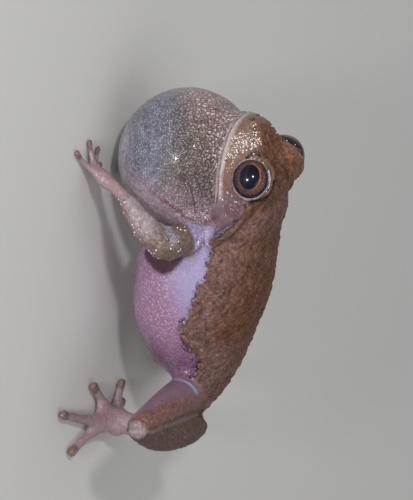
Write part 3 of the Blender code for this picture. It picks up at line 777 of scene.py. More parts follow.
def skin_fields(points, normals, pairs, owner):
    """Fields over the skin that its relief, its colours and its patterns share."""
    folded = folded_over(points)
    x, y, z = folded.T
    turned = folded_over(normals)
    turned[:, 1] = np.where(points[:, 1] > 0, -normals[:, 1], normals[:, 1])

    def zone(*parts, rounds=4):
        names = [part for part in parts if part in FLESH]
        names += [f"{part}_{side}" for part in parts for side in SIDES]
        return spread(np.isin(owner, names).astype(float), pairs, rounds)

    limbs = zone(*LIMBS, rounds=2)
    arm = zone("upper_arm", "forearm")
    fields = {
        "folded": folded,
        "arm": arm,
        "hand": zone("hand"),
        "foot": zone("foot", "tarsus"),
        "thigh": zone("thigh", rounds=3),
        "shank": zone("shank", rounds=2),
        "head": zone("head", "ear", rounds=6),
        "limb": limbs,
        "trunk": 1 - step(limbs, 0.3, 0.7),
        "facing": turned @ np.array(UPPER_REAR),
        "forearm": zone("forearm"),
        "nostril": across_skin(folded - np.array(NOSTRIL), turned),
        "drum": across_skin(folded - np.array(EARDRUM), turned),
        "lean": thigh_fold(points, owner),
    }
    for name, path in HEAD_LINES.items():
        fields[name], fields[f"{name}_share"] = along(path, folded, turned)
    for name, path in EYE_LINES.items():
        fields[name] = off_eye_line(path, folded)
    fields["crease"] = np.where(points[:, 1] < 0, fields["crease"], FAR)
    grain = np.array(RIDGE_WAY)
    drawn_out = folded - RIDGE_PULL * (folded @ grain)[:, None] * grain
    drawn_out[:, 0] += np.where(points[:, 1] > 0, FAR, 0.0)
    fields["ridges"] = rough_field(drawn_out, 0.42, 3, 12)
    behind_sac = x - np.interp(z, SAC_REAR_HEIGHTS, SAC_REAR)
    fields["behind_sac"] = behind_sac
    sac_top = z - np.interp(x, (-17.6, -16.0, -12.0, -9.6, -8.5), (13.95, 13.7, 13.65, 13.58, 13.1))
    fields["sac"] = (1 - step(behind_sac, -0.3, 0.15)) * (1 - step(sac_top, -0.25, 0.25)) * fields["trunk"]
    under = brown_edge(folded)
    fields["edge"] = under
    fields["under"] = np.where(limbs > 0.5, -3.0, under)
    fields["brown"] = step(-under, -0.08, 0.12) * fields["trunk"] * (1 - fields["sac"])
    fields["pale"] = (1 - fields["brown"]) * fields["trunk"] * (1 - fields["sac"])
    below_canthus = step(z - np.interp(x, *zip(*((a, c) for a, b, c in CANTHUS))), 0.15, -0.1) * (x < -13.5)
    cheek = step(z, 15.9, 15.3) * (x >= -13.5)
    fields["crown"] = fields["head"] * (1 - below_canthus - cheek)
    add_limb_fields(points, folded, fields)
    return fields


# Thin ridges and furrows along lines and round spots: the field they follow, their height in
# millimetres, how far off the line they run and how wide they are
THIN_RIDGES = (
    ("canthus", 0.1, 0.0, 0.22),
    ("nostril", 0.06, 0.27, 0.1),
    ("nostril", -0.3, 0.0, 0.13),
    ("wrinkle", -0.18, 0.0, 0.1),
    ("wrinkle", 0.08, 0.25, 0.12),
    ("crease", -0.34, 0.0, 0.16),
    ("drum", -0.08, 0.78, 0.12),
    ("drum", 0.06, 0.0, 0.45),
    ("lean", -0.24, 0.0, 0.16),
    ("lean", 0.08, 0.42, 0.16),
    ("knob", 0.08, 0.0, 0.7),
    ("knob", -0.07, 1.2, 0.12),
    ("rim", 0.07, 0.0, 0.12),
)


def grain_relief(points, fields):
    """The lumps, warts and grit of the skin and the thinner wrists and soles, in millimetres."""
    x, y, z = fields["folded"].T
    head = fields["head"]
    lumps = rough_field(points, 1.2, 2, 1)
    grit = rough_field(points, 0.45, 2, 2)
    warts = wart_field(points, 0.6, 3)
    height = fields["brown"] * (0.06 * lumps + 0.05 * grit + 0.12 * warts) * (1 - 0.6 * head)
    height += 0.07 * fields["ridges"] * fields["brown"] * (1 - 0.7 * head * (1 - fields["crown"]))
    height += fields["pale"] * (1 - head) * 0.035 * wart_field(points, 0.5, 4)
    limb = 1 - fields["trunk"]
    height += limb * (1 - fields["smooth"]) * (0.05 * grit + 0.08 * warts) * (1 - 0.6 * fields["hand"])
    height += fields["foot"] * 0.19 * step(z, 0.3, 0.6) + fields["hand"] * 0.04 * step(z, 0.3, 0.6)
    height += fields["forearm"] * 0.17 * step(elbow_distance(points), 1.5, 3.0)
    height += head * (1 - fields["sac"]) * 0.02 * grit
    height += fields["sac"] * 0.02 * lumps
    return height


def mouth_relief(fields):
    """The groove of the mouth with the thin ridges along it, in millimetres."""
    x, y, z = fields["folded"].T
    mouth = fields["mouth"]
    open_part = 1 - step(fields["mouth_share"], 0.93, 1.0)
    above_mouth = z > np.interp(x, *MOUTH_HEIGHTS)
    above = 0.06 * bell(mouth, 0.25, 0.15)
    below = 0.04 * bell(mouth, 0.17, 0.07) + 0.04 * bell(mouth, 0.45, 0.07) - 0.08 * bell(mouth, 0.31, 0.06)
    return (np.where(above_mouth, above, below) - 0.17 * bell(mouth, 0.0, 0.09)) * open_part


def relief(points, fields):
    """How far each vertex of the skin moves along its normal, in millimetres."""
    folded = fields["folded"]
    x, y, z = folded.T
    head = fields["head"]
    height = grain_relief(points, fields) + mouth_relief(fields)
    for name, rise, off, width in THIN_RIDGES:
        height += rise * bell(fields[name], off, width)
    fold = fields["fold"]
    fold_share = fields["fold_share"]
    brown_side = step(-fields["edge"], -0.05, 0.1)
    height += 0.1 * bell(fold, 0.2, 0.4) * (1 - step(fold_share, 0.75, 1.0)) * brown_side
    height -= 0.16 * bell(fold, 0.0, 0.13) * (1 - step(fold_share, 0.75, 0.95))
    streaks = rough_field(folded * np.array((0.35, 1.0, 1.0)), 0.4, 2, 9)
    height += 0.035 * fields["crown"] * streaks
    height += 0.07 * bell(fields["drum"], 1.0, 0.15) * step(fold, 0.3, 0.7)
    lip = step(-fields["edge"], -0.06, 0.08) * (1 - step(-fields["edge"], 0.15, 1.3))
    height += lip * 0.17 * (1 - head) * fields["trunk"] * step(x, -7.0, -5.0)
    gutter = bell(fields["edge"], 0.12, 0.12) * (1 - head) * fields["trunk"]
    height -= 0.1 * gutter * step(x, -7.0, -5.0)
    base = bell(fields["behind_sac"], 0.0, 0.25) * step(z, 6.0, 7.5) * (1 - step(z, 13.3, 13.9))
    height -= 0.13 * base * fields["trunk"]
    return height


def hidden_by_eyes(points, settings):
    """Which vertices lie under the eyeballs, where relief would only push them out."""
    hidden = np.zeros(len(points), bool)
    slack = 0.02
    for side in SIDES:
        distance, angle = eye_angles(points, side)
        hidden |= distance < settings.radius / MM + slack
    return hidden


def coated(start, layers):
    """A colour at each vertex: the first one, with each further one laid over it by its mask."""
    colour = np.tile(np.array(start[:3]), (len(layers[0][0]), 1))
    for mask, paint in layers:
        paint = np.array(paint)[..., :3]
        colour += np.clip(mask, 0, 1)[:, None] * (paint - colour)
    return colour


def sac_colour(settings, fields):
    """Slate blue in front, dark in the middle, pinkish by the head and pale at the underside."""
    from_middle = (fields["folded"] - np.array(SAC_CENTRE)) / SAC_RADIUS
    across = from_middle @ np.array(UPPER_REAR)
    up = from_middle @ np.array(VIEW_UP)
    fields["dots"] = step(across + 0.35 * up, 0.0, 0.5)
    fields["net"] = bell(across, 0.15, 0.6) * (1 - step(up, 0.55, 1.0)) + 0.35 * step(across, 0.1, 0.4)
    fields["specks"] = 1 - step(across + 0.2 * up, -0.1, 0.4)
    return coated(settings.sac_dark, [
        (1 - step(across - 0.2 * up, -0.55, 0.05), settings.sac_blue),
        (step(across + 0.55 * up, 0.15, 0.75), settings.sac_warm),
        # Painted light shining through the thin rim of the sac
        (1 - step(across, -0.95, -0.72), settings.sac_rim_glow),
        # The sac's own pinkish lilac at its base, laid pale over its lower part as painted light
        (step(-up - 0.3 * across, 0.3, 0.85), settings.sac_base_painted_light),
    ])


def lid_paint(points):
    """How strongly the lids' tan skin and their pale rims show at each vertex."""
    rim = np.zeros(len(points))
    lid = np.zeros(len(points))
    for side in SIDES:
        distance, angle = eye_angles(points, side)
        lid = np.maximum(lid, (distance < 3.0) * step(angle, 57, 60) * (1 - step(angle, 74, 84)))
        pale_way = np.array(on_side((0.86, -0.1, 0.51), side))
        behind = (points - np.array(EYE[side])) @ pale_way / distance
        end = 57.0 - 1.5 * behind
        ring = (distance < 2.8) * step(angle, 52, 54) * (1 - step(angle, end, end + 2.5))
        rim = np.maximum(rim, ring * LID_RIM[side] * (0.3 + 0.7 * step(behind, -0.35, 0.3)))
    return lid, rim


def upper_paint(settings, points, fields):
    """The colour of the brown skin, the face and the limbs at each vertex, and how dry the skin is."""
    folded = fields["folded"]
    x, y, z = folded.T
    blotch = 0.5 + 0.5 * rough_field(points, 2.6, 3, 5)
    streak = 0.5 + 0.5 * rough_field(points * np.array((0.3, 1.0, 1.0)), 0.7, 3, 6)
    patch = 0.5 + 0.5 * rough_field(points, 1.4, 3, 7)
    lip = 1 - step(fields["mouth"], 0.3, 0.75)
    dash = 0.5 + 0.5 * rough_field(points, 0.5, 2, 8)
    stripe = bell(fields["stripe"], 0.0, 0.2) * step(dash, 0.38, 0.55)
    canthus = bell(fields["canthus"], 0.0, 0.2)
    flank_side = step(-fields["edge"], 0.0, 0.3) * (1 - step(-fields["edge"], 1.0, 4.2)) * (0.6 + 0.4 * patch)
    head = fields["head"]
    crown = fields["crown"]
    lores = head * (1 - crown)
    lid, rim = lid_paint(points)
    low = step(-fields["facing"], 0.35, 0.85)
    # The crease's dark paint is painted shade in its groove
    crease = np.clip(1.6 * bell(fields["crease"], 0.0, 0.18), 0, 1)
    # The wrinkle's dark paint is painted shade in its groove
    wrinkle = np.clip(1.4 * bell(fields["wrinkle"], 0.0, 0.13), 0, 1)
    ridges = fields["ridges"]
    dry = fields["brown"] * (1 - head * (1 - crown))
    fold_shown = 1 - step(fields["fold_share"], 0.8, 0.9)
    fields["dry"] = np.clip(dry + fields["shank"] + fields["thigh"] * (1 - fields["smooth"])
                            + 1.6 * bell(fields["fold"], 0.0, 0.4) * fold_shown, 0, 1)
    elbow_off = elbow_distance(points)
    tip = fields["tip"]
    digits = step(tip, 0.0, 0.1) * np.clip(fields["hand"] + fields["foot"], 0, 1)
    lean = fields["lean"]
    return coated(settings.back, [
        (step(blotch, 0.45, 0.7) * 0.45, settings.back_rust),
        (step(blotch, 0.42, 0.2) * 0.6, PAINT["olive_blotch"]),
        (flank_side, settings.back_side),
        (crown, settings.crown),
        (crown * step(streak, 0.5, 0.75) * 0.7, settings.crown_streak),
        (crown * step(streak, 0.42, 0.25) * 0.5, PAINT["crown_dark"]),
        (crown * step(patch, 0.55, 0.8) * 0.5 * step(x, -12.0, -10.5), PAINT["crown_olive"]),
        (lores, settings.lores),
        (lores * step(patch, 0.5, 0.8) * 0.35, settings.crown_streak),
        (canthus * 0.7 * head, settings.crown_streak),
        (stripe * head, settings.stripe),
        (bell(fields["nostril"], 0.0, 0.22), settings.stripe),
        (lip * fields["above_mouth"] * fields["open_part"] * lores, settings.upper_lip),
        # Painted shade in the valleys of the dry skin's fine ridges, and painted light on their raised tops
        (dry * step(ridges, 0.05, -0.4) * 0.48, PAINT["ridge_valley_shade"]),
        (dry * step(ridges, 0.15, 0.55) * 0.42, PAINT["ridge_top_light"]),
        (lid * (0.35 + 0.5 * patch), PAINT["lid"]),
        (crease, PAINT["crease"]),
        (wrinkle, PAINT["wrinkle"]),
        # Painted shadow of the overhanging brown fold, dark along the groove beside the eardrum
        (bell(fields["fold"], 0.0, 0.15) * step(fields["fold_share"], 0.9, 0.75), PAINT["ear_fold_shadow"]),
        (bell(distance_to(folded, BROW_SPOTS[0]), 0.0, 0.3) * 0.7, PAINT["brow_rust"]),
        (bell(distance_to(folded, BROW_SPOTS[1]), 0.0, 0.15) * 0.8, PAINT["brow_dark"]),
        (bell(distance_to(folded, FACE_DOT), 0.0, 0.12), PAINT["face_dot"]),
        (rim, settings.lid_rim),
        (fields["arm"] * fields["tan"], settings.arm),
        (fields["arm"] * (1 - fields["tan"]), settings.flank),
        (fields["forearm"] * step(elbow_off, 1.2, 3.4), settings.forearm),
        (fields["arm"] * fields["tan"] * low * 0.7, settings.arm_edge),
        (fields["arm"] * bell(fields["inner_elbow"], 0.0, 0.4) * 0.55, PAINT["inner_elbow"]),
        (fields["thigh"], settings.leg),
        (fields["smooth"], settings.thigh_front),
        (fields["shank"], settings.shank),
        (bell(lean, 0.45, 0.2) * 0.45, settings.knee),
        (step(fields["knob"], 1.15, 0.7), settings.knee),
        # Painted shade in the groove round the knee's pale knob
        (bell(fields["knob"], 1.2, 0.12) * 0.5, PAINT["knee_groove_shade"]),
        (step(distance_to(points, SEAT_FOLD[-1][0]), 1.5, 0.5) * 0.7, PAINT["seat"]),
        (bell(fields["rim"], 0.0, 0.19), settings.blue_rim),
        (digits, settings.foot),
        (digits * bell(tip, 1.2, 0.28) * 0.8, settings.digit_band),
        (digits * (1 - step(tip, 0.7, 0.95)), settings.pad),
    ])


def lower_paint(settings, fields):
    """The colour of the flank, belly, throat and armpit at each vertex."""
    folded = fields["folded"]
    x, y, z = folded.T
    hollow = step(x - np.interp(z, ARMPIT_HEIGHTS, ARMPIT), 0.5, 0.0) * step(-y, 4.5, 5.5)
    hollow *= step(z, 3.8, 5.0) * step(z, 12.2, 11.0)
    fields["hollow"] = hollow
    below_ear = distance_to(folded, (-8.1, -5.5, 13.3)) + 0.4
    neck = step(np.minimum(distance_to(folded, (-7.6, -5.6, 15.0)), below_ear), 2.1, 0.9)
    head = fields["head"]
    return coated(settings.belly, [
        (step(z - 0.5 * x, 7.5, 12.5), settings.flank),
        (step(x - 0.2 * z, 2.5, 8.0), settings.groin),
        # The hollow's dark crimson is the skin's red, darkened by the arm's painted shadow
        (hollow * 0.95, settings.armpit_crimson_and_shadow),
        # Darker lilac: the skin's lilac, with painted shade in the crease behind the sac and under the ear
        # fold
        (bell(fields["behind_sac"], 0.2, 0.6) * 0.7, settings.lilac_and_shade_below_ear),
        (head * step(x, -8.6, -9.6), settings.jaw),
        (neck, settings.lilac_and_shade_below_ear),
        (neck * step(fields["ridges"], 0.0, -0.3) * 0.5, PAINT["neck_dark"]),
    ])


def painted(settings, points, fields):
    """The skin's colour above and below the brown edge, at each vertex."""
    folded = fields["folded"]
    x, y, z = folded.T
    mouth = fields["mouth"]
    drum = fields["drum"]
    head = fields["head"]
    above_mouth = step(z - np.interp(x, *MOUTH_HEIGHTS), -0.03, 0.03)
    open_part = 1 - step(fields["mouth_share"], 0.9, 1.0)
    fields["above_mouth"] = above_mouth
    fields["open_part"] = open_part
    upper = upper_paint(settings, points, fields)
    lower = lower_paint(settings, fields)
    sac = sac_colour(settings, fields)
    near_drum = step(drum, 2.3, 1.3) * head
    near_drum *= np.maximum(step(fields["edge"], -0.15, 0.1), step(x, -9.7, -10.1))
    for colour in (upper, lower):
        colour += near_drum[:, None] * (np.array(settings.ear_round[:3]) - colour)
        colour += step(drum, 0.95, 0.75)[:, None] * (np.array(settings.ear[:3]) - colour)
    share = fields["sac"][:, None]
    upper += share * (sac - upper)
    lower += share * (sac - lower)
    # Crimson along the vessel at the sac's base is the skin's own; along the arm's crease it is painted shade
    arm_crease_shade = bell(fields["limb"], 0.4, 0.3) * step(elbow_distance(points), 4.2, 3.5)
    arm_crease_shade *= step(x, -6.9, -6.3) * (z > 8)
    crimson = np.maximum(0.8 * bell(fields["base_vessel"], 0.0, 0.2), 0.8 * arm_crease_shade)
    jaw = np.maximum(1 - step(mouth, 0.16, 0.3), 0.6 * bell(mouth, 0.45, 0.07))
    jaw *= (1 - above_mouth) * step(x, -9.9, -10.6)
    # Painted shade in the groove of the mouth and in the thin groove below it
    line = (bell(mouth, 0.0, 0.07) + 0.7 * bell(mouth, 0.31, 0.06) * (1 - above_mouth)) * open_part
    for colour in (upper, lower):
        colour += crimson[:, None] * (np.array(PAINT["crimson"][:3]) - colour)
        colour += jaw[:, None] * (np.array(settings.jaw[:3]) - colour)
        colour += (0.75 * line)[:, None] * (np.array(PAINT["mouth_groove_shade"][:3]) - colour)
    return upper, lower


# The skin's two materials, by how strong their film of moisture is
SKIN_COATS = {"moist_frog_skin": 0.8, "dry_warty_frog_skin": 0.1}
SKIN_PATTERNS = ("under", "edge_shadow_band", "grit", "granules", "grain", "dots", "net", "specks", "flecks", "gloss")


def skin_patterns(fields):
    """How strongly each fine pattern of the skin's material shows at each vertex."""
    x, y, z = fields["folded"].T
    head = fields["head"]
    sac = fields["sac"]
    limb = 1 - fields["trunk"]
    face_grit = (0.45 + 0.4 * fields["crown"]) * head * (1 - sac)
    limb_grit = limb * (0.8 - 0.6 * fields["smooth"] - 0.45 * (fields["hand"] + fields["foot"]))
    grain = fields["pale"] * (1 - head) * (1 - fields["hollow"])
    return {
        "under": fields["under"],
        "grit": np.clip(fields["brown"] * (1 - head) + face_grit + limb_grit, 0, 1),
        "granules": grain * (1 - 0.75 * step(z, 8.5, 11.5)) * (1 - 0.8 * step(x, 4.0, 8.5)),
        "grain": grain,
        # Where the broken line of painted shadow under the brown edge shows
        "edge_shadow_band": step(x, -9.3, -8.3) * (1 - sac),
        "dots": fields["dots"] * sac,
        "net": fields["net"] * sac,
        "specks": fields["specks"] * sac,
        "flecks": np.clip(
            fields["arm"] * fields["tan"] + 0.35 * fields["shank"] + 0.4 * fields["thigh"], 0, 1),
        "gloss": np.clip(sac + 0.7 * fields["pale"] + 0.5 * head * (1 - fields["crown"]) + 0.3 * limb, 0, 1),
    }


def store(mesh, name, values):
    """Keep a value or a colour of each vertex as an attribute of the mesh."""
    if values.ndim == 1:
        layer = mesh.attributes.new(name, "FLOAT", "POINT")
        layer.data.foreach_set("value", values.astype(np.float32))
    else:
        layer = mesh.attributes.new(name, "FLOAT_COLOR", "POINT")
        whole = np.ones((len(values), 4), np.float32)
        whole[:, :3] = np.clip(values, 0, 1)
        layer.data.foreach_set("color", whole.ravel())


# The sockets of a node that brings a range of values to another, in the order used here
RANGE = ("Value", "From Min", "From Max", "To Min", "To Max")
# Fine patterns made of cells: the attribute that shows them, the cells' size in millimetres, the
# distances where they are full and where they end, their colour and its strength
CELL_LAYERS = {
    "wart": ("grit", 0.28, 0.2, 0.62, "#8a5c46", 0.35),
    "granule": ("granules", 0.36, 0.18, 0.5, "#d6c3d2", 0.48),
    "grain": ("grain", 0.2, 0.2, 0.5, "#c9b6c9", 0.3),
    "dot": ("dots", 0.42, 0.3, 0.15, "#ece0e0", 0.85),
    "between": ("dots", 0.42, 0.02, 0.12, "#4d3433", 0.55),
    "line": ("net", 0.3, 0.02, 0.13, "#362524", 0.85),
    "mesh": ("net", 0.3, 0.36, 0.2, "#bba7a3", 0.28),
    "speck": ("specks", 0.2, 0.16, 0.46, "#cfd2d8", 0.75),
    "fleck": ("flecks", 0.5, 0.12, 0.3, "#2c211e", 0.8),
}
# Those at plain places instead of wandering ones, those drawn from the cells' borders, and the range of
# tags where only some cells show
PLAIN_CELLS = ("granule", "grain", "speck")
BORDER_CELLS = ("dot", "between", "line", "mesh")
CELL_TAGS = {"wart": (0.55, 0.75), "speck": (0.3, 0.6), "fleck": (0.6, 0.64)}


def cells(tree, where, size, full, none, feature="F1"):
    """Cells of a size in millimetres, 1 where full and 0 where none, and their tags."""
    grid = add_node(
        tree, "ShaderNodeTexVoronoi", {"Vector": where, "Scale": 1 / (size * MM)}, feature=feature)
    shown = add_node(tree, "ShaderNodeMapRange", dict(zip(RANGE, (grid, full, none, 1.0, 0.0))))
    return shown, grid.outputs.get("Color")


def tint(tree, base, masks, colour, amount):
    """Lay a colour over another where all masks are high, and tell where."""
    shown, *others = masks
    for mask in others:
        shown = add_node(tree, "ShaderNodeMath", {0: shown, 1: mask}, operation="MULTIPLY")
    factor = add_node(tree, "ShaderNodeMath", {0: shown, 1: amount}, operation="MULTIPLY")
    mixed = add_node(tree, "ShaderNodeMix", {"Factor": factor, "A": base, "B": colour}, data_type="RGBA")
    return mixed, shown


def shade(tree, base, mask, value):
    """Darken or lighten a colour by a value where the mask is high."""
    even = add_node(tree, "ShaderNodeMix", {"Factor": mask, "A": 1.0, "B": value})
    return add_node(
        tree, "ShaderNodeMix", {"Factor": 1.0, "A": base, "B": even}, data_type="RGBA", blend_type="MULTIPLY")


def frog_skin_material(name, coat):
    """Granular frog skin: warty and dull above, smooth below and on the sac, under a film of moisture."""
    material = new_material(name)
    tree = material.node_tree
    plain = add_node(tree, "ShaderNodeTexCoord").outputs["Object"]
    wander = add_node(tree, "ShaderNodeTexNoise", {"Vector": plain, "Scale": 1 / (0.8 * MM), "Detail": 2.0})
    offset = add_node(
        tree, "ShaderNodeVectorMath", {0: wander.outputs["Color"], 1: (0.5, 0.5, 0.5)}, operation="SUBTRACT")
    nudge = add_node(tree, "ShaderNodeVectorMath", {0: offset, "Scale": 0.35 * MM}, operation="SCALE")
    where = add_node(tree, "ShaderNodeVectorMath", {0: plain, 1: nudge})
    show = {}
    for pattern in SKIN_PATTERNS:
        show[pattern] = add_node(tree, "ShaderNodeAttribute", attribute_name=pattern).outputs["Fac"]
    upper = add_node(tree, "ShaderNodeAttribute", attribute_name="upper_colour")
    lower = add_node(tree, "ShaderNodeAttribute", attribute_name="lower_colour")
    cell = {}
    shown = {}

    def lay(base, layer, *masks):
        """Lay one pattern of cells over a colour, and keep the cells and where they show."""
        attribute, size, full, none, code, amount = CELL_LAYERS[layer]
        feature = "DISTANCE_TO_EDGE" if layer in BORDER_CELLS else "F1"
        cell[layer], tag = cells(tree, plain if layer in PLAIN_CELLS else where, size, full, none, feature)
        if layer in CELL_TAGS:
            masks = (add_node(tree, "ShaderNodeMapRange", dict(zip(RANGE, (tag, *CELL_TAGS[layer])))),)
        mixed, shown[layer] = tint(
            tree, base, [cell[layer], *masks, show[attribute]], hex_colour(code), amount)
        return mixed

    # The brown skin ends in a crumbly edge, with a broken dark line of shadow below it
    crumbs = add_node(tree, "ShaderNodeTexNoise", {"Vector": plain, "Scale": 1 / (0.3 * MM), "Detail": 3.0})
    teeth = add_node(tree, "ShaderNodeMapRange", dict(zip(RANGE, (crumbs, 0.25, 0.75, -0.2, 0.2))))
    edge = add_node(tree, "ShaderNodeMath", {0: show["under"], 1: teeth}, operation="ADD")
    below = add_node(tree, "ShaderNodeMapRange", dict(zip(RANGE, (edge, -0.02, 0.02))))
    colour = add_node(tree, "ShaderNodeMix", {"Factor": below, "A": upper, "B": lower}, data_type="RGBA")
    broken = add_node(tree, "ShaderNodeMapRange", dict(zip(RANGE, (wander, 0.4, 0.55, 0.3, 1.0))))
    shadow = add_node(tree, "ShaderNodeMapRange", dict(zip(RANGE, (edge, 0.55, 0.25))))
    colour = tint(tree, colour, [shadow, below, show["edge_shadow_band"], broken], PAINT["edge_shadow"], 0.9)[0]

    # Fine warts of the brown skin, with a rusty one here and there
    mottle = add_node(tree, "ShaderNodeTexNoise", {
        "Vector": plain, "Scale": 1 / (0.42 * MM), "Detail": 6.0, "Roughness": 0.7})
    colour = lay(colour, "wart")
    # Painted light on the warts' tops and painted shade in the pits between them; the mottle varies the tone
    for value in ((mottle, 0.34, 0.68, 0.58, 1.45), (cell["wart"], 0.0, 1.0, 0.78, 1.22)):
        colour = shade(
            tree, colour, show["grit"], add_node(tree, "ShaderNodeMapRange", dict(zip(RANGE, value))))

    # Pale granules of the belly, close together. Then the sac: cream dots by the head, a broken dark net
    # in the middle and fine pale specks in front
    for layer in ("granule", "grain", "dot", "between"):
        colour = lay(colour, layer)
    gaps = add_node(tree, "ShaderNodeMapRange", dict(zip(RANGE, (mottle, 0.38, 0.52))))
    colour = lay(colour, "line", gaps)
    colour = lay(colour, "mesh")
    for value in ((wander, 0.35, 0.65, 0.75, 1.2), (mottle, 0.35, 0.65, 0.62, 1.35)):
        colour = shade(
            tree, colour, show["specks"], add_node(tree, "ShaderNodeMapRange", dict(zip(RANGE, value))))
    colour = lay(colour, "speck")

    # Black flecks of the arms
    colour = lay(colour, "fleck")

    grit = add_node(tree, "ShaderNodeMath", {0: cell["wart"], 1: mottle}, operation="ADD")
    bumps = add_node(tree, "ShaderNodeMath", {0: grit, 1: show["grit"]}, operation="MULTIPLY")
    for layer in ("granule", "dot", "mesh", "speck"):
        bumps = add_node(tree, "ShaderNodeMath", {0: bumps, 1: shown[layer]}, operation="ADD")
    bumps = add_node(tree, "ShaderNodeMath", {0: bumps, 1: shown["line"]}, operation="SUBTRACT")
    bump = add_node(tree, "ShaderNodeBump", {"Height": bumps, "Strength": 0.8, "Distance": 0.06 * MM})
    roughness = add_node(tree, "ShaderNodeMapRange", dict(zip(RANGE, (show["gloss"], 0.0, 1.0, 0.6, 0.3))))
    shader = add_node(tree, "ShaderNodeBsdfPrincipled", {
        "Base Color": colour,
        "Roughness": roughness,
        "IOR": 1.4,
        "Subsurface Weight": 0.1,
        "Subsurface Radius": (1.0, 0.4, 0.3),
        "Subsurface Scale": 0.3 * MM,
        "Specular IOR Level": 0.35,
        "Coat Weight": coat,
        "Coat Roughness": 0.12,
        "Coat IOR": 1.45,
        "Normal": bump,
        "Coat Normal": bump,
    })
    add_node(tree, "ShaderNodeOutputMaterial", {"Surface": shader})
    return material


class FROG_OT_skin(bpy.types.Operator):
    """Make the frog's whole skin as one piece over the solids of flesh"""

    bl_idname = "frog.skin"
    bl_label = "Skin"

    def execute(self, context):
        settings = context.scene.frog_skin
        eyes = context.scene.frog_eyes
        skin = fused_skin(settings)
        bm = bmesh.new()
        bm.from_mesh(skin.data)
        keep_outer_shell(bm)
        bm.to_mesh(skin.data)
        bm.free()
        soften(skin, 5)
        refine(skin, head_and_edge)
        soften(skin, 2)
        refine(skin, finest_features)
        soften(skin, 1)
        mesh = skin.data
        pairs = edge_pairs(mesh)
        points = vertex_array(mesh, "co") / MM - ZERO
        owner = nearest_nodes(points)
        merge_seams(points, owner, pairs)
        seat_lids(points, eyes)
        mesh.vertices.foreach_set("co", ((points + ZERO) * MM).ravel())
        mesh.update()
        normals = vertex_array(mesh, "normal")
        fields = skin_fields(points, normals, pairs, owner)
        height = relief(points, fields)
        height[hidden_by_eyes(points, eyes)] = 0.0
        points += normals * height[:, None]
        points[:, 2] = np.maximum(points[:, 2], 0.0)
        mesh.vertices.foreach_set("co", ((points + ZERO) * MM).ravel())
        mesh.update()
        upper, lower = painted(settings, points, fields)
        store(mesh, "upper_colour", upper)
        store(mesh, "lower_colour", lower)
        for name, values in skin_patterns(fields).items():
            store(mesh, name, values)
        mesh.shade_smooth()
        for name, coat in SKIN_COATS.items():
            mesh.materials.append(frog_skin_material(name, coat))
        corners = np.empty(len(mesh.loops), int)
        mesh.loops.foreach_get("vertex_index", corners)
        starts = np.empty(len(mesh.polygons), int)
        mesh.polygons.foreach_get("loop_start", starts)
        driest = np.minimum.reduceat(fields["dry"][corners], starts)
        mesh.polygons.foreach_set("material_index", (driest > 0.5).astype(int))
        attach(skin, "root")
        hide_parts(*FLESH)
        return {"FINISHED"}


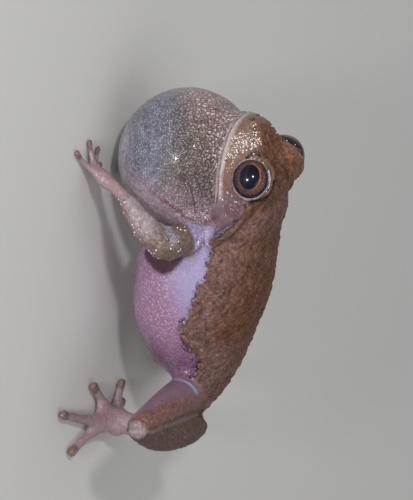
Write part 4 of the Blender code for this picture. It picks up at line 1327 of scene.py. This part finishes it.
def eye_material(settings, side):
    """Wet eyeball: copper iris with an orange ring round a navy pupil, dark at the rim, under clear coat."""
    material = new_material(f"wet_eye_{side}")
    tree = material.node_tree
    where = add_node(tree, "ShaderNodeTexCoord").outputs["Object"]
    local = add_node(tree, "ShaderNodeVectorMath", {0: where, 1: to_frame(EYE[side])}, operation="SUBTRACT")

    def oval(axes, half_length, half_height):
        """Distance from an axis, which is 1 on an oval of the given size and large on the far side."""
        away, forward, outward = [
            add_node(tree, "ShaderNodeVectorMath", {0: local, 1: direction / length}, operation="DOT_PRODUCT")
            for direction, length in zip(axes, (0.1 * settings.radius, half_length, half_height))]
        behind = add_node(tree, "ShaderNodeMath", {0: away, 1: 0.0}, operation="MINIMUM")
        flat = add_node(tree, "ShaderNodeCombineXYZ", {"X": forward, "Y": outward, "Z": behind})
        return add_node(tree, "ShaderNodeVectorMath", {0: flat}, operation="LENGTH")

    rim = oval(eye_axes(side, IRIS_AXIS[side]), settings.iris_half_length, settings.iris_half_height)
    gaze = eye_axes(side, GAZE[side])
    pupil = oval(gaze, settings.pupil_half_length, settings.pupil_half_height)
    upper_rear, forward = [
        add_node(
            tree, "ShaderNodeVectorMath", {0: local, 1: direction / settings.radius}, operation="DOT_PRODUCT")
        for direction in (Vector(on_side((0.0, 0.453, 0.892), side)), gaze[1])]
    fibres = add_node(tree, "ShaderNodeTexNoise", {"Vector": local, "Scale": 1 / (0.22 * MM), "Detail": 4.0})
    flakes, tag = cells(tree, local, 0.16, 0.15, 0.45)
    ranges = {
        "copper": (upper_rear, -0.35, 0.2),
        "fibre": (fibres, 0.35, 0.65, 0.35, 1.6),
        "tag": (tag, 0.5, 0.6),
        "glint": (upper_rear, -0.3, 0.5),
        "rim_shade": (rim, 0.85, 1.0, 1.0, 0.5),
        "glow": (upper_rear, -0.1, 0.45, 0.1, 1.0),
        "past_ring": (pupil, 1.17, 1.3),
        "near_ring": (pupil, 1.5, 1.35),
        "ring": (pupil, 1.2, 1.06),
        "pupil": (pupil, 1.03, 0.98),
        "front": (forward, 0.0, 0.5),
        "limbus": (rim, 0.96, 1.03),
    }
    at = {}
    for part, limits in ranges.items():
        at[part] = add_node(tree, "ShaderNodeMapRange", dict(zip(RANGE, limits)))
    colour = add_node(
        tree, "ShaderNodeMix", {"Factor": at["copper"], "A": settings.iris_front, "B": settings.iris},
        data_type="RGBA")
    colour = shade(tree, colour, 1.0, at["fibre"])
    # Pale flakes on the iris's upper rear side: partly the iris's own flakes, partly painted glints
    colour = tint(tree, colour, [flakes, at["tag"], at["glint"]], PAINT["iris_flake_and_glint"], 0.8)[0]
    colour = shade(tree, colour, 1.0, at["rim_shade"])
    for masks, paint, amount in (
        (("past_ring", "near_ring", "glow"), settings.iris_front, 0.6),
        (("ring", "glow"), settings.ring, 0.9),
        # The pupil's navy is a painted bluish reflection; its front part is black
        (("pupil",), settings.pupil, 1.0),
        (("pupil", "front"), PAINT["pupil_front"], 0.8),
        (("limbus",), settings.limbus, 1.0),
    ):
        colour = tint(tree, colour, [at[mask] for mask in masks], paint, amount)[0]
    shader = add_node(tree, "ShaderNodeBsdfPrincipled", {
        "Base Color": colour, "Roughness": 0.3, "IOR": 1.2, "Coat Weight": 0.9, "Coat Roughness": 0.02,
        "Coat IOR": 1.38})
    add_node(tree, "ShaderNodeOutputMaterial", {"Surface": shader})
    return material


class FROG_OT_eyes(bpy.types.Operator):
    """Make both eyeballs, each with a slightly domed cornea, in place of the plain ones"""

    bl_idname = "frog.eyes"
    bl_label = "Eyes"

    def execute(self, context):
        settings = context.scene.frog_eyes
        for side in SIDES:
            bpy.ops.object.select_all(action="DESELECT")
            bpy.ops.mesh.primitive_uv_sphere_add(segments=72, ring_count=48, radius=settings.radius)
            eye = context.object
            eye.name = f"eyeball_{side}"
            for vertex in eye.data.vertices:
                share = max(0.0, vertex.co.z / settings.radius)
                vertex.co *= 1 + 0.04 * share ** 6
            turn = Vector(EYE_AXIS[side]).to_track_quat("Z", "Y").to_matrix().to_4x4()
            eye.data.transform(Matrix.Translation(to_frame(EYE[side])) @ turn)
            eye.data.shade_smooth()
            eye.data.materials.append(eye_material(settings, side))
            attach(eye, "root")
            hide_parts(f"eye_{side}")
        return {"FINISHED"}


def skin_surface():
    """A search tree over the finished skin, in the frame's metres."""
    mesh = bpy.data.objects["skin"].data
    vertices = [vertex.co for vertex in mesh.vertices]
    return BVHTree.FromPolygons(vertices, [list(polygon.vertices) for polygon in mesh.polygons])


def granule_places(surface, settings):
    """Seeded places for the granules, each with its outward direction and radius, on both sides."""
    choice = random.Random(7)
    places = []
    for side in SIDES:
        for centre, reach, count in GRANULE_PATCHES:
            for i in range(count):
                shift = Vector([choice.uniform(-reach, reach) for axis in range(3)])
                start = to_frame(on_side(centre, side)) + shift * MM
                spot, normal = surface.find_nearest(start)[:2]
                radius = choice.uniform(settings.smallest, settings.largest)
                if all((spot - other).length > radius + size for other, way, size in places):
                    places.append((spot, normal, radius))
    return places


def rim_places(eyes, settings):
    """Places for the row of granules along the upper rear of each lid's rim."""
    places = []
    for side in SIDES:
        axis, forward, outward = eye_axes(side, roll=0.0)
        for i, degrees in enumerate(RIM_TURNS[side]):
            turn = math.radians(degrees)
            oval = math.sin(turn) ** 2 - math.cos(turn) ** 2
            angle = eyes.opening + math.radians(LID_OVAL[side] * oval + 3.5)
            across = outward * math.cos(turn) - forward * math.sin(turn)
            way = axis * math.cos(angle) + across * math.sin(angle)
            spot = to_frame(EYE[side]) + way * (eyes.radius + 0.14 * MM)
            places.append((spot, way, settings.smallest * (1.45 + 0.2 * math.sin(5.0 * i))))
    return places


def wet_material(name, colour, roughness):
    """Wet tissue: a plain colour under a clear, sharp coat of moisture."""
    material = new_material(name)
    tree = material.node_tree
    shader = add_node(tree, "ShaderNodeBsdfPrincipled", {
        "Base Color": colour, "Roughness": roughness, "IOR": 1.4, "Coat Weight": 1.0, "Coat Roughness": 0.06,
        "Coat IOR": 1.33})
    add_node(tree, "ShaderNodeOutputMaterial", {"Surface": shader})
    return material


class FROG_OT_granules(bpy.types.Operator):
    """Scatter small wet granules over the face, the lids' rims, the chest and the arms"""

    bl_idname = "frog.granules"
    bl_label = "Wet granules"

    def execute(self, context):
        settings = context.scene.frog_beads
        surface = skin_surface()
        places = granule_places(surface, settings) + rim_places(context.scene.frog_eyes, settings)
        bpy.ops.object.select_all(action="DESELECT")
        bpy.ops.mesh.primitive_uv_sphere_add(segments=10, ring_count=8, radius=1.0)
        granules = context.object
        granules.name = "wet_granules"
        whole = bmesh.new()
        bead = granules.data.copy()
        for spot, normal, radius in places:
            turn = normal.to_track_quat("Z", "Y").to_matrix().to_4x4()
            size = Matrix.Diagonal((radius, radius, radius * 0.8, 1.0))
            one = bead.copy()
            one.transform(Matrix.Translation(spot + normal * radius * 0.1) @ turn @ size)
            whole.from_mesh(one)
            bpy.data.meshes.remove(one)
        whole.to_mesh(granules.data)
        whole.free()
        bpy.data.meshes.remove(bead)
        granules.data.shade_smooth()
        # Near-white granules, whose paleness is partly painted highlight
        granules.data.materials.append(wet_material("wet_granule_painted_glint", settings.granule, 0.2))
        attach(granules, "root")
        return {"FINISHED"}


def tube_on_skin(name, path, radius, surface):
    """A thin tube that lies half sunk in the skin along a smooth course."""
    curve = bpy.data.curves.new(name, "CURVE")
    curve.dimensions = "3D"
    curve.bevel_depth = radius
    curve.bevel_resolution = 2
    curve.use_fill_caps = True
    places = []
    for start, end in zip(path, path[1:]):
        for i in range(6):
            places.append(Vector(start).lerp(Vector(end), i / 6))
    places.append(Vector(path[-1]))
    spline = curve.splines.new("POLY")
    spline.points.add(len(places) - 1)
    for i, place in enumerate(places):
        spot, normal = surface.find_nearest(to_frame(place))[:2]
        spline.points[i].co = (*(spot - normal * radius * 0.4), 1.0)
        spline.points[i].radius = 0.45 + 0.55 * math.sin(math.pi * (i + 1) / (len(places) + 1))
    tube = bpy.data.objects.new(name, curve)
    bpy.context.scene.collection.objects.link(tube)
    select_only(tube)
    bpy.ops.object.convert(target="MESH")
    return bpy.context.object


class FROG_OT_vessels(bpy.types.Operator):
    """Lay the red blood vessel and the dark veins over each side of the throat sac"""

    bl_idname = "frog.vessels"
    bl_label = "Vessels"

    def execute(self, context):
        settings = context.scene.frog_beads
        surface = skin_surface()
        red = wet_material("blood_vessel", settings.vessel, 0.4)
        dark = wet_material("dark_vein", settings.vein, 0.4)
        for side in SIDES:
            courses = [(f"blood_vessel_{side}", VESSEL, settings.vessel_radius, red)]
            for number, vein in enumerate(VEINS, start=1):
                courses.append((f"vein_{number}_{side}", vein, settings.vessel_radius * 1.5, dark))
            for name, course, radius, material in courses:
                tube = tube_on_skin(name, [on_side(point, side) for point in course], radius, surface)
                tube.data.shade_smooth()
                tube.data.materials.append(material)
                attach(tube, "root")
        return {"FINISHED"}


# The photograph's flashes: their place as shares of the ways towards the camera, to its right and up,
# their width in metres, their power in watts and their colour. Then how far they hang from the frog, and
# where the wide fill light hangs from it, in metres
FLASH_LIGHTS = (
    ("key_light", (0.94, -0.33, -0.02), 0.05, 0.6, (1.0, 0.98, 0.96)),
    ("second_light", (0.9, 0.22, 0.3), 0.035, 0.4, (1.0, 0.98, 0.97)),
)
FLASH_DISTANCE = 0.35
FILL_PLACE = (0.2, -0.2, 0.9)


def area_light(name, place, target, size, power, colour):
    """A round soft light, turned to its target."""
    light = bpy.data.lights.new(name, "AREA")
    light.shape = "DISK"
    light.size = size
    light.energy = power
    light.color = colour
    lamp = bpy.data.objects.new(name, light)
    bpy.context.scene.collection.objects.link(lamp)
    lamp.location = place
    lamp.rotation_mode = "QUATERNION"
    lamp.rotation_quaternion = (Vector(place) - Vector(target)).to_track_quat("Z", "Y")
    return lamp


class FROG_OT_stage(bpy.types.Operator):
    """Lay the pale floor, hang the soft lights and set up the camera"""

    bl_idname = "frog.stage"
    bl_label = "Stage"

    def execute(self, context):
        settings = context.scene.frog_stage
        scene = context.scene
        bpy.ops.object.select_all(action="DESELECT")
        bpy.ops.mesh.primitive_plane_add(size=6.0)
        floor = context.object
        floor.name = "floor"
        material = new_material("matt_paper_floor")
        tree = material.node_tree
        shader = add_node(tree, "ShaderNodeBsdfPrincipled", {"Base Color": settings.floor, "Roughness": 0.9})
        add_node(tree, "ShaderNodeOutputMaterial", {"Surface": shader})
        floor.data.materials.append(material)
        target = to_frame(VIEW_TARGET)
        toward = Vector(VIEW_FROM).normalized()
        up = Vector(VIEW_UP).normalized()
        right = up.cross(toward)
        camera = bpy.data.objects.new("camera", bpy.data.cameras.new("camera"))
        scene.collection.objects.link(camera)
        camera.matrix_world = Matrix.Translation(target + toward * settings.distance) @ Matrix(
            (right, up, toward)).transposed().to_4x4()
        camera.data.lens = settings.lens
        camera.data.sensor_width = 36.0
        camera.data.clip_start = 0.01
        scene.camera = camera
        for name, (near, rightward, upward), size, power, colour in FLASH_LIGHTS:
            way = (toward * near + right * rightward + up * upward).normalized()
            area_light(name, target + way * FLASH_DISTANCE, target, size, power, colour)
        area_light("fill_light", target + Vector(FILL_PLACE), target, 1.0, 1.5, (0.95, 0.97, 1.0))
        world = bpy.data.worlds.new("studio")
        world.use_nodes = True
        background = world.node_tree.nodes["Background"]
        background.inputs["Color"].default_value = (1, 1, 1, 1)
        background.inputs["Strength"].default_value = 0.3
        scene.world = world
        scene.view_settings.view_transform = "Standard"
        return {"FINISHED"}


class FROG_PT_panel(bpy.types.Panel):
    """Buttons for the frog's pieces"""

    bl_label = "Tree frog"
    bl_idname = "FROG_PT_panel"
    bl_space_type = "VIEW_3D"
    bl_region_type = "UI"
    bl_category = "Tree frog"

    def draw(self, context):
        for operator in OPERATORS:
            self.layout.operator(operator.bl_idname)


OPERATORS = (FROG_OT_skin, FROG_OT_eyes, FROG_OT_granules, FROG_OT_vessels, FROG_OT_stage)
SETTINGS = {
    "frog_skin": FrogSkinSettings,
    "frog_eyes": FrogEyeSettings,
    "frog_beads": FrogBeadSettings,
    "frog_stage": FrogStageSettings,
}
CLASSES = (*SETTINGS.values(), *OPERATORS, FROG_PT_panel)


def register():
    for item in CLASSES:
        bpy.utils.register_class(item)
    for name, group in SETTINGS.items():
        setattr(bpy.types.Scene, name, bpy.props.PointerProperty(type=group))


def unregister():
    for name in SETTINGS:
        delattr(bpy.types.Scene, name)
    for item in reversed(CLASSES):
        bpy.utils.unregister_class(item)


def main():
    """Make the frog and its stage."""
    register()
    bpy.ops.frog.skin()
    bpy.ops.frog.eyes()
    bpy.ops.frog.granules()
    bpy.ops.frog.vessels()
    bpy.ops.frog.stage()


if __name__ == "__main__":
    main()
